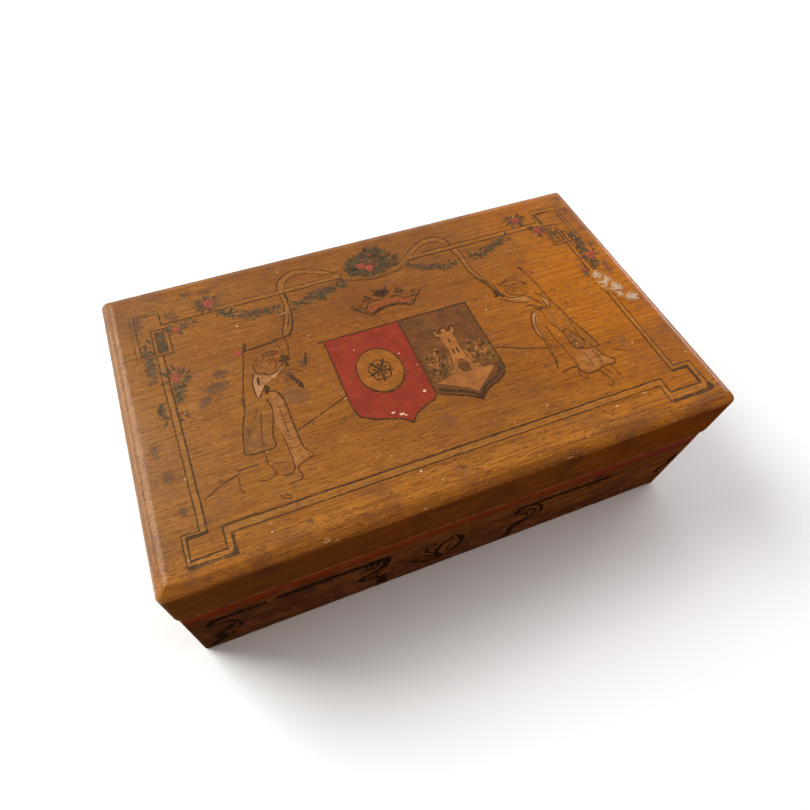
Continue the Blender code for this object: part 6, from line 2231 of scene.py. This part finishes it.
def add_ear(bm, side):
    """An ear, flattened, turned a little forward and hollowed."""
    ear = Matrix.Translation(HEAD_CENTRE + Vector((side * 13.6, 0.8, -1.6)) * MM)
    ear = ear @ Matrix.Rotation(side * math.radians(24), 4, "Z") @ Matrix.Diagonal((1.1, 2.1, 3.0, 1))
    made = bmesh.ops.create_uvsphere(bm, u_segments=24, v_segments=16, radius=MM, matrix=ear)["verts"]
    hollow = HEAD_CENTRE + Vector((side * 15.0, 0.2, -1.6)) * MM
    for vert in made:
        near = (vert.co - hollow).length
        if near < 1.5 * MM:
            vert.co.x -= side * (1.5 * MM - near) * 0.75


def make_head(skin):
    """The carved head with its ears. The attribute reach is 1 on the cheeks."""
    bm = bmesh.new()
    loft(bm, ball_rings(64, 96, lambda way: HEAD_CENTRE + way * head_radius(way)))
    for side in (-1, 1):
        add_ear(bm, side)
    head = add_piece("jack_face", bm, skin, "jack", "painted_skin", ("jack_head",), 60)
    reach = []
    for vert in head.data.vertices:
        way = (vert.co - HEAD_CENTRE).normalized()
        glow = 0.0
        for side in (-1, 1):
            glow += math.exp(-(((way.x - side * 0.52) / 0.20) ** 2
                               + ((way.z + 0.26) / 0.17) ** 2)) * (way.y < 0)
        reach.append(min(1.0, glow))
    set_attribute(head, "reach", reach)


def make_nose(nose_paint):
    """A round nose on a short peg."""
    middle = (NOSE_LOW + NOSE_HIGH) / 2
    radius = (NOSE_HIGH.x - NOSE_LOW.x) / 2

    def place(way):
        squash = 1 - 0.05 * max(0.0, way.z) + 0.03 * noise.noise(way * 1.5)
        return middle + Vector((way.x, way.y, way.z * squash)) * radius * 0.985

    bm = bmesh.new()
    loft(bm, ball_rings(24, 32, place))
    peg = [middle + Vector((0, d * MM, 0.1 * MM)) for d in (0.5, 1.6, 3.4)]
    loft(bm, tube_rings(peg, [0.9 * MM, 0.7 * MM, 0.6 * MM], 14))
    add_piece("jack_nose_ball", bm, nose_paint, "jack", "painted_nose", ("jack_nose",), 60)


def draw_face():
    """A plain toy's face: oval eyes, arched brows and a small smile."""
    whites, irises, darks, lights, lips = (bmesh.new() for _ in range(5))
    for side in (-1, 1):
        x = side * EYE_X
        lid_line = []
        for a in whole_turn(28):
            tall = EYE_TALL * (1.0 if math.sin(a) > 0 else 0.72)
            lid_line.append((x + EYE_WIDE * math.cos(a), EYE_Z + tall * math.sin(a)))
        face_patch(whites, lid_line, 0.06, 0.42)
        face_patch(irises, oval(x * 0.99, EYE_Z + 0.12, 0.98, 1.02, count=20), 0.34, 0.20)
        face_patch(darks, oval(x * 0.99, EYE_Z + 0.12, 0.48, 0.52, count=16), 0.54, 0.10)
        face_patch(lights, oval(x * 0.99 - 0.36, EYE_Z + 0.52, 0.22, 0.22, count=10), 0.64, 0.06, 2)
        upper = [(x + side * EYE_WIDE * 1.12 * math.cos(a), EYE_Z + EYE_TALL * 1.05 * math.sin(a))
                 for a in [math.radians(degrees) for degrees in (184, 150, 115, 80, 45, 12, -8)]]
        face_line(darks, upper, 0.42, 0.10)
        for a in [math.radians(degrees) for degrees in (70, 48, 28)]:
            foot = (x + side * EYE_WIDE * 1.12 * math.cos(a), EYE_Z + EYE_TALL * 1.05 * math.sin(a))
            tip = (foot[0] + side * 0.62 * math.cos(a), foot[1] + 0.62 * math.sin(a) + 0.15)
            face_line(darks, [foot, tip], 0.26, 0.10)
        face_line(darks, [(x - side * 2.0, 2.35), (x - side * 0.6, 2.95), (x + side * 1.2, 2.85),
                          (x + side * 2.6, 2.05)], 0.58, 0.08)
    face_patch(lips, [(-2.9, -4.9), (-1.5, -5.25), (-0.6, -5.0), (0, -5.2), (0.6, -5.0), (1.5, -5.25),
                      (2.9, -4.9), (1.8, -6.1), (0, -6.6), (-1.8, -6.1)], 0.05, 0.16)
    face_line(darks, [(-3.7, -4.3), (-2.4, -5.15), (0, -5.65), (2.4, -5.15), (3.7, -4.3)], 0.30, 0.14)
    white_paint = enamel("eye_white", (0.80, 0.74, 0.62), (0.70, 0.62, 0.48))
    iris_paint = enamel("eye_brown", (0.19, 0.080, 0.030), (0.12, 0.050, 0.022))
    line_paint = enamel("face_line", (0.022, 0.013, 0.010), (0.04, 0.022, 0.016))
    lip_paint = enamel("lips", (0.46, 0.045, 0.035), (0.32, 0.030, 0.026))
    for name, bm, colour, slot in (("jack_eye_whites", whites, white_paint, "painted_skin"),
                                   ("jack_eyes", irises, iris_paint, "painted_skin"),
                                   ("jack_face_lines", darks, line_paint, "painted_skin"),
                                   ("jack_eye_lights", lights, white_paint, "painted_skin"),
                                   ("jack_mouth", lips, lip_paint, "painted_nose")):
        add_piece(name, bm, colour, "jack", slot, smooth_over=60)


def hair_material():
    """Combed brown wool."""
    make = Material("wool_hair")
    strand = make.noise(make.stretch(make.place(), (900, 900, 260)), 1.0, 3, 0.6, 1.0)
    colour = make.mix(make.step(strand, 0.35, 0.66), (0.165, 0.070, 0.025), (0.060, 0.024, 0.010))
    return make.surface(colour, 0.75, strand, 0.0002, {"Sheen Weight": 0.3})


def make_hair():
    """Locks of wool that hang out from under the cap, short over the brow and longer behind."""
    draw = random.Random(7)
    bm = bmesh.new()
    for step in range(34):
        angle = -90 + 360 * (step + 0.5) / 34 + draw.uniform(-3, 3)
        from_front = abs(math.remainder(math.radians(angle + 90), math.tau))
        drop = math.radians(10 + 20 * ease((from_front - 0.5) * 1.2) + draw.uniform(-3, 4))
        if from_front < 0.5:
            drop = math.radians(5 + draw.uniform(0, 3))
        curl = draw.choice((-1, 1)) * draw.uniform(0.05, 0.13)
        centres, radii = [], []
        for point in range(13):
            t = point / 12
            latitude = math.radians(21) - drop * t
            turn = math.radians(angle) + curl * math.sin(t * math.pi * 1.4)
            way = direction(turn, latitude)
            lift = 0.25 + 0.75 * math.sin(math.pi * min(1.0, t * 1.15))
            centres.append(HEAD_CENTRE + way * (head_radius(way) + lift * MM))
            radii.append((1.15 * (1 - t) ** 0.5 + 0.22) * MM)
        loft(bm, tube_rings(centres, radii, 10, 0.75))
    add_piece("jack_hair", bm, hair_material(), "jack", smooth_over=60)


CAP_INNER, CAP_OUTER = HEAD_RADIUS + 0.25 * MM, HEAD_RADIUS + 1.25 * MM
BRIM = math.radians(18)  # how far above the middle of the head the brim runs
CAP_ROWS, CAP_COLUMNS = 14, 26


def cap_place(sign, radius, row, column):
    """A place on one half of the cap's dome, puckered at the brim."""
    latitude = BRIM + (math.pi / 2 - 0.02 - BRIM) * row / CAP_ROWS
    a = math.pi * (column / CAP_COLUMNS - 0.5)
    pucker = 0.16 * MM * math.cos(a * 16) * math.exp(-((latitude - BRIM) / 0.16) ** 2)
    reach = radius - 0.25 * MM * noise.noise(Vector((a * 1.5, latitude * 3, sign * 5.0))) - pucker
    way = direction(a, latitude)
    way.x *= sign
    return HEAD_CENTRE + way * min(reach, CAP_OUTER)


def add_half_dome(bm, sign):
    """Half of the cap's dome, in two shells that are closed all round."""
    top, under = [[[bm.verts.new(cap_place(sign, radius, row, column)) for column in range(CAP_COLUMNS + 1)]
                   for row in range(CAP_ROWS + 1)] for radius in (CAP_OUTER, CAP_INNER)]
    for row in range(CAP_ROWS):
        for column in range(CAP_COLUMNS):
            for rings in (top, under):
                bm.faces.new((rings[row][column], rings[row][column + 1], rings[row + 1][column + 1],
                              rings[row + 1][column]))
    for column in range(CAP_COLUMNS):
        for row in (0, CAP_ROWS):
            bm.faces.new((top[row][column], top[row][column + 1], under[row][column + 1],
                          under[row][column]))
    for row in range(CAP_ROWS):
        for column in (0, CAP_COLUMNS):
            bm.faces.new((top[row][column], top[row + 1][column], under[row + 1][column],
                          under[row][column]))


def add_horn(bm, sign):
    """A stuffed horn that rises from the dome and hangs down at its side."""
    bends = ((4.5, 9.4), (19.0, 18.2), (27.8, 12.4), (28.4, 4.6))
    corners = [HEAD_CENTRE + Vector((sign * x, 0, z)) * MM for x, z in bends]
    steps = 30
    radii = []
    for step in range(steps + 1):
        t = step / steps
        root = min(1.0, 0.35 + t * 6)
        radii.append((4.9 * root * (1 - t) ** 0.75 + 0.95
                      + 0.28 * math.sin(t * 34) * math.sin(math.pi * t)) * MM)
    loft(bm, tube_rings(bezier(corners, steps), radii, 20))


def make_cap_half(side, sign, cloth):
    """Half of the cap, dome and horn melted into one."""
    bm = bmesh.new()
    add_half_dome(bm, sign)
    add_horn(bm, sign)
    replaced = ("jack_hat",) if sign < 0 else ()
    half = add_piece(f"jack_cap_{side}", bm, cloth, "jack", "hat_cloth", replaced, 60)
    melted(half, 0.34 * MM, 5)
    cloth_coordinates(half, HEAD_CENTRE)


def make_hat(green, red, trim, brass):
    """A two-horned cap, one half green and one half red, with a rolled brim and a bell on each horn."""
    for side, sign, cloth in (("left", -1, green), ("right", 1, red)):
        make_cap_half(side, sign, cloth)
        make_bell(side, sign, brass)
    rolled = HEAD_RADIUS + 0.75 * MM
    brim = [HEAD_CENTRE + direction(a, BRIM) * (rolled + 0.10 * MM * math.sin(a * 50))
            for a in whole_turn(150)]
    band = tube("jack_cap_band", brim, 1.15 * MM, 12, trim, "jack", "ruff_cloth", 0.8, True)
    cloth_coordinates(band, HEAD_CENTRE)
    seam = []
    for step in range(90):
        a = math.pi * (0.11 + 0.78 * step / 89)
        reach = CAP_OUTER - 0.15 * MM + 0.06 * MM * math.sin(step * 1.3)
        seam.append(HEAD_CENTRE + Vector((0, math.cos(a), math.sin(a))) * reach)
    cord = tube("jack_cap_seam", seam, 0.45 * MM, 10, trim, "jack", "ruff_cloth")
    cloth_coordinates(cord, HEAD_CENTRE)


def make_bell(side, sign, brass):
    """A hollow round bell with a raised belt, a cross-cut mouth, a loop and a ball inside."""
    low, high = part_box(f"jack_{side}_bell")
    radius = (high.z - low.z) / 2
    outer = radius * 0.985
    bm = bmesh.new()
    bmesh.ops.create_uvsphere(bm, u_segments=36, v_segments=24, radius=outer)
    hollow = bmesh.ops.create_uvsphere(bm, u_segments=36, v_segments=24, radius=radius * 0.80)["verts"]
    bmesh.ops.reverse_faces(bm, faces=list({face for vert in hollow for face in vert.link_faces}))
    bell = mesh_object(f"jack_{side}_bell_shell", bm, brass)
    slits = ((radius * 0.16, radius * 1.5, radius), (radius * 1.5, radius * 0.16, radius))
    cut_out(bell, [box_cutter(size, (0, 0, -radius * 0.72), brass) for size in slits])
    bm = bmesh.new()
    bm.from_mesh(bell.data)
    belt = [Vector((math.cos(a), math.sin(a), 0)) * outer for a in whole_turn(48)]
    loft(bm, tube_rings(belt, 0.20 * MM, 8, 1.0, True), closed=True)
    eye = 0.75 * MM
    loop = [Vector((eye * math.cos(a), 0, radius + 0.35 * MM + eye * math.sin(a))) for a in whole_turn(20)]
    loft(bm, tube_rings(loop, 0.22 * MM, 8, 1.0, True), closed=True)
    bmesh.ops.create_uvsphere(bm, u_segments=16, v_segments=12, radius=radius * 0.28,
                              matrix=Matrix.Translation((0.1 * MM, 0, -radius * 0.5)))
    bm.to_mesh(bell.data)
    bm.free()
    bell.data.transform(Matrix.Translation((low + high) / 2) @ Matrix.Rotation(math.radians(35 * sign), 4,
                                                                               "Z"))
    smooth(bell, 35)
    hand_over(bell, "jack", "brass", (f"jack_{side}_bell",))


def make_jack():
    steel = aged_metal("spring_steel", (0.38, 0.36, 0.34), (0.17, 0.105, 0.065), 0.32, 0.6)
    brass = aged_metal("bell_brass", (0.70, 0.48, 0.17), (0.34, 0.20, 0.075), 0.20, 0.4)
    gown = woven("gown_cotton", (0.36, 0.030, 0.034), (0.20, 0.018, 0.022), 0.42, 0.25, (0.60, 0.46, 0.26))
    jacket = woven("jacket_felt", (0.36, 0.030, 0.034), (0.20, 0.018, 0.022), 0.50, 0.45)
    green = woven("cap_felt_green", (0.050, 0.125, 0.080), (0.022, 0.062, 0.042), 0.50, 0.45)
    trim = woven("trim_cream", (0.62, 0.50, 0.30), (0.42, 0.30, 0.16), 0.36, 0.3)
    linen = woven("ruff_linen", (0.66, 0.58, 0.42), (0.46, 0.36, 0.22), 0.30, 0.2)
    skin = enamel("painted_skin", (0.66, 0.40, 0.25), (0.52, 0.27, 0.15), (0.58, 0.10, 0.065))
    red = enamel("painted_nose", (0.50, 0.040, 0.030), (0.32, 0.026, 0.020))
    turned_wood = raw_wood("turned_wood", 2)
    finish_cad("jack_cap_disc", turned_wood)
    finish_cad("jack_neck_peg", turned_wood)
    make_spring(steel)
    make_staples(steel)
    make_gown(gown, trim)
    make_torso(jacket, trim, brass)
    for side, sign in (("left", -1), ("right", 1)):
        make_arm(side, sign, green, linen, skin)
    make_ruff(linen)
    make_head(skin)
    make_nose(red)
    draw_face()
    make_hair()
    make_hat(green, jacket, trim, brass)


make_camera()
make_floor()
make_world()
make_lights()
make_lid()
make_base()
draw_artwork()
make_hardware()
make_inside()
make_jack()
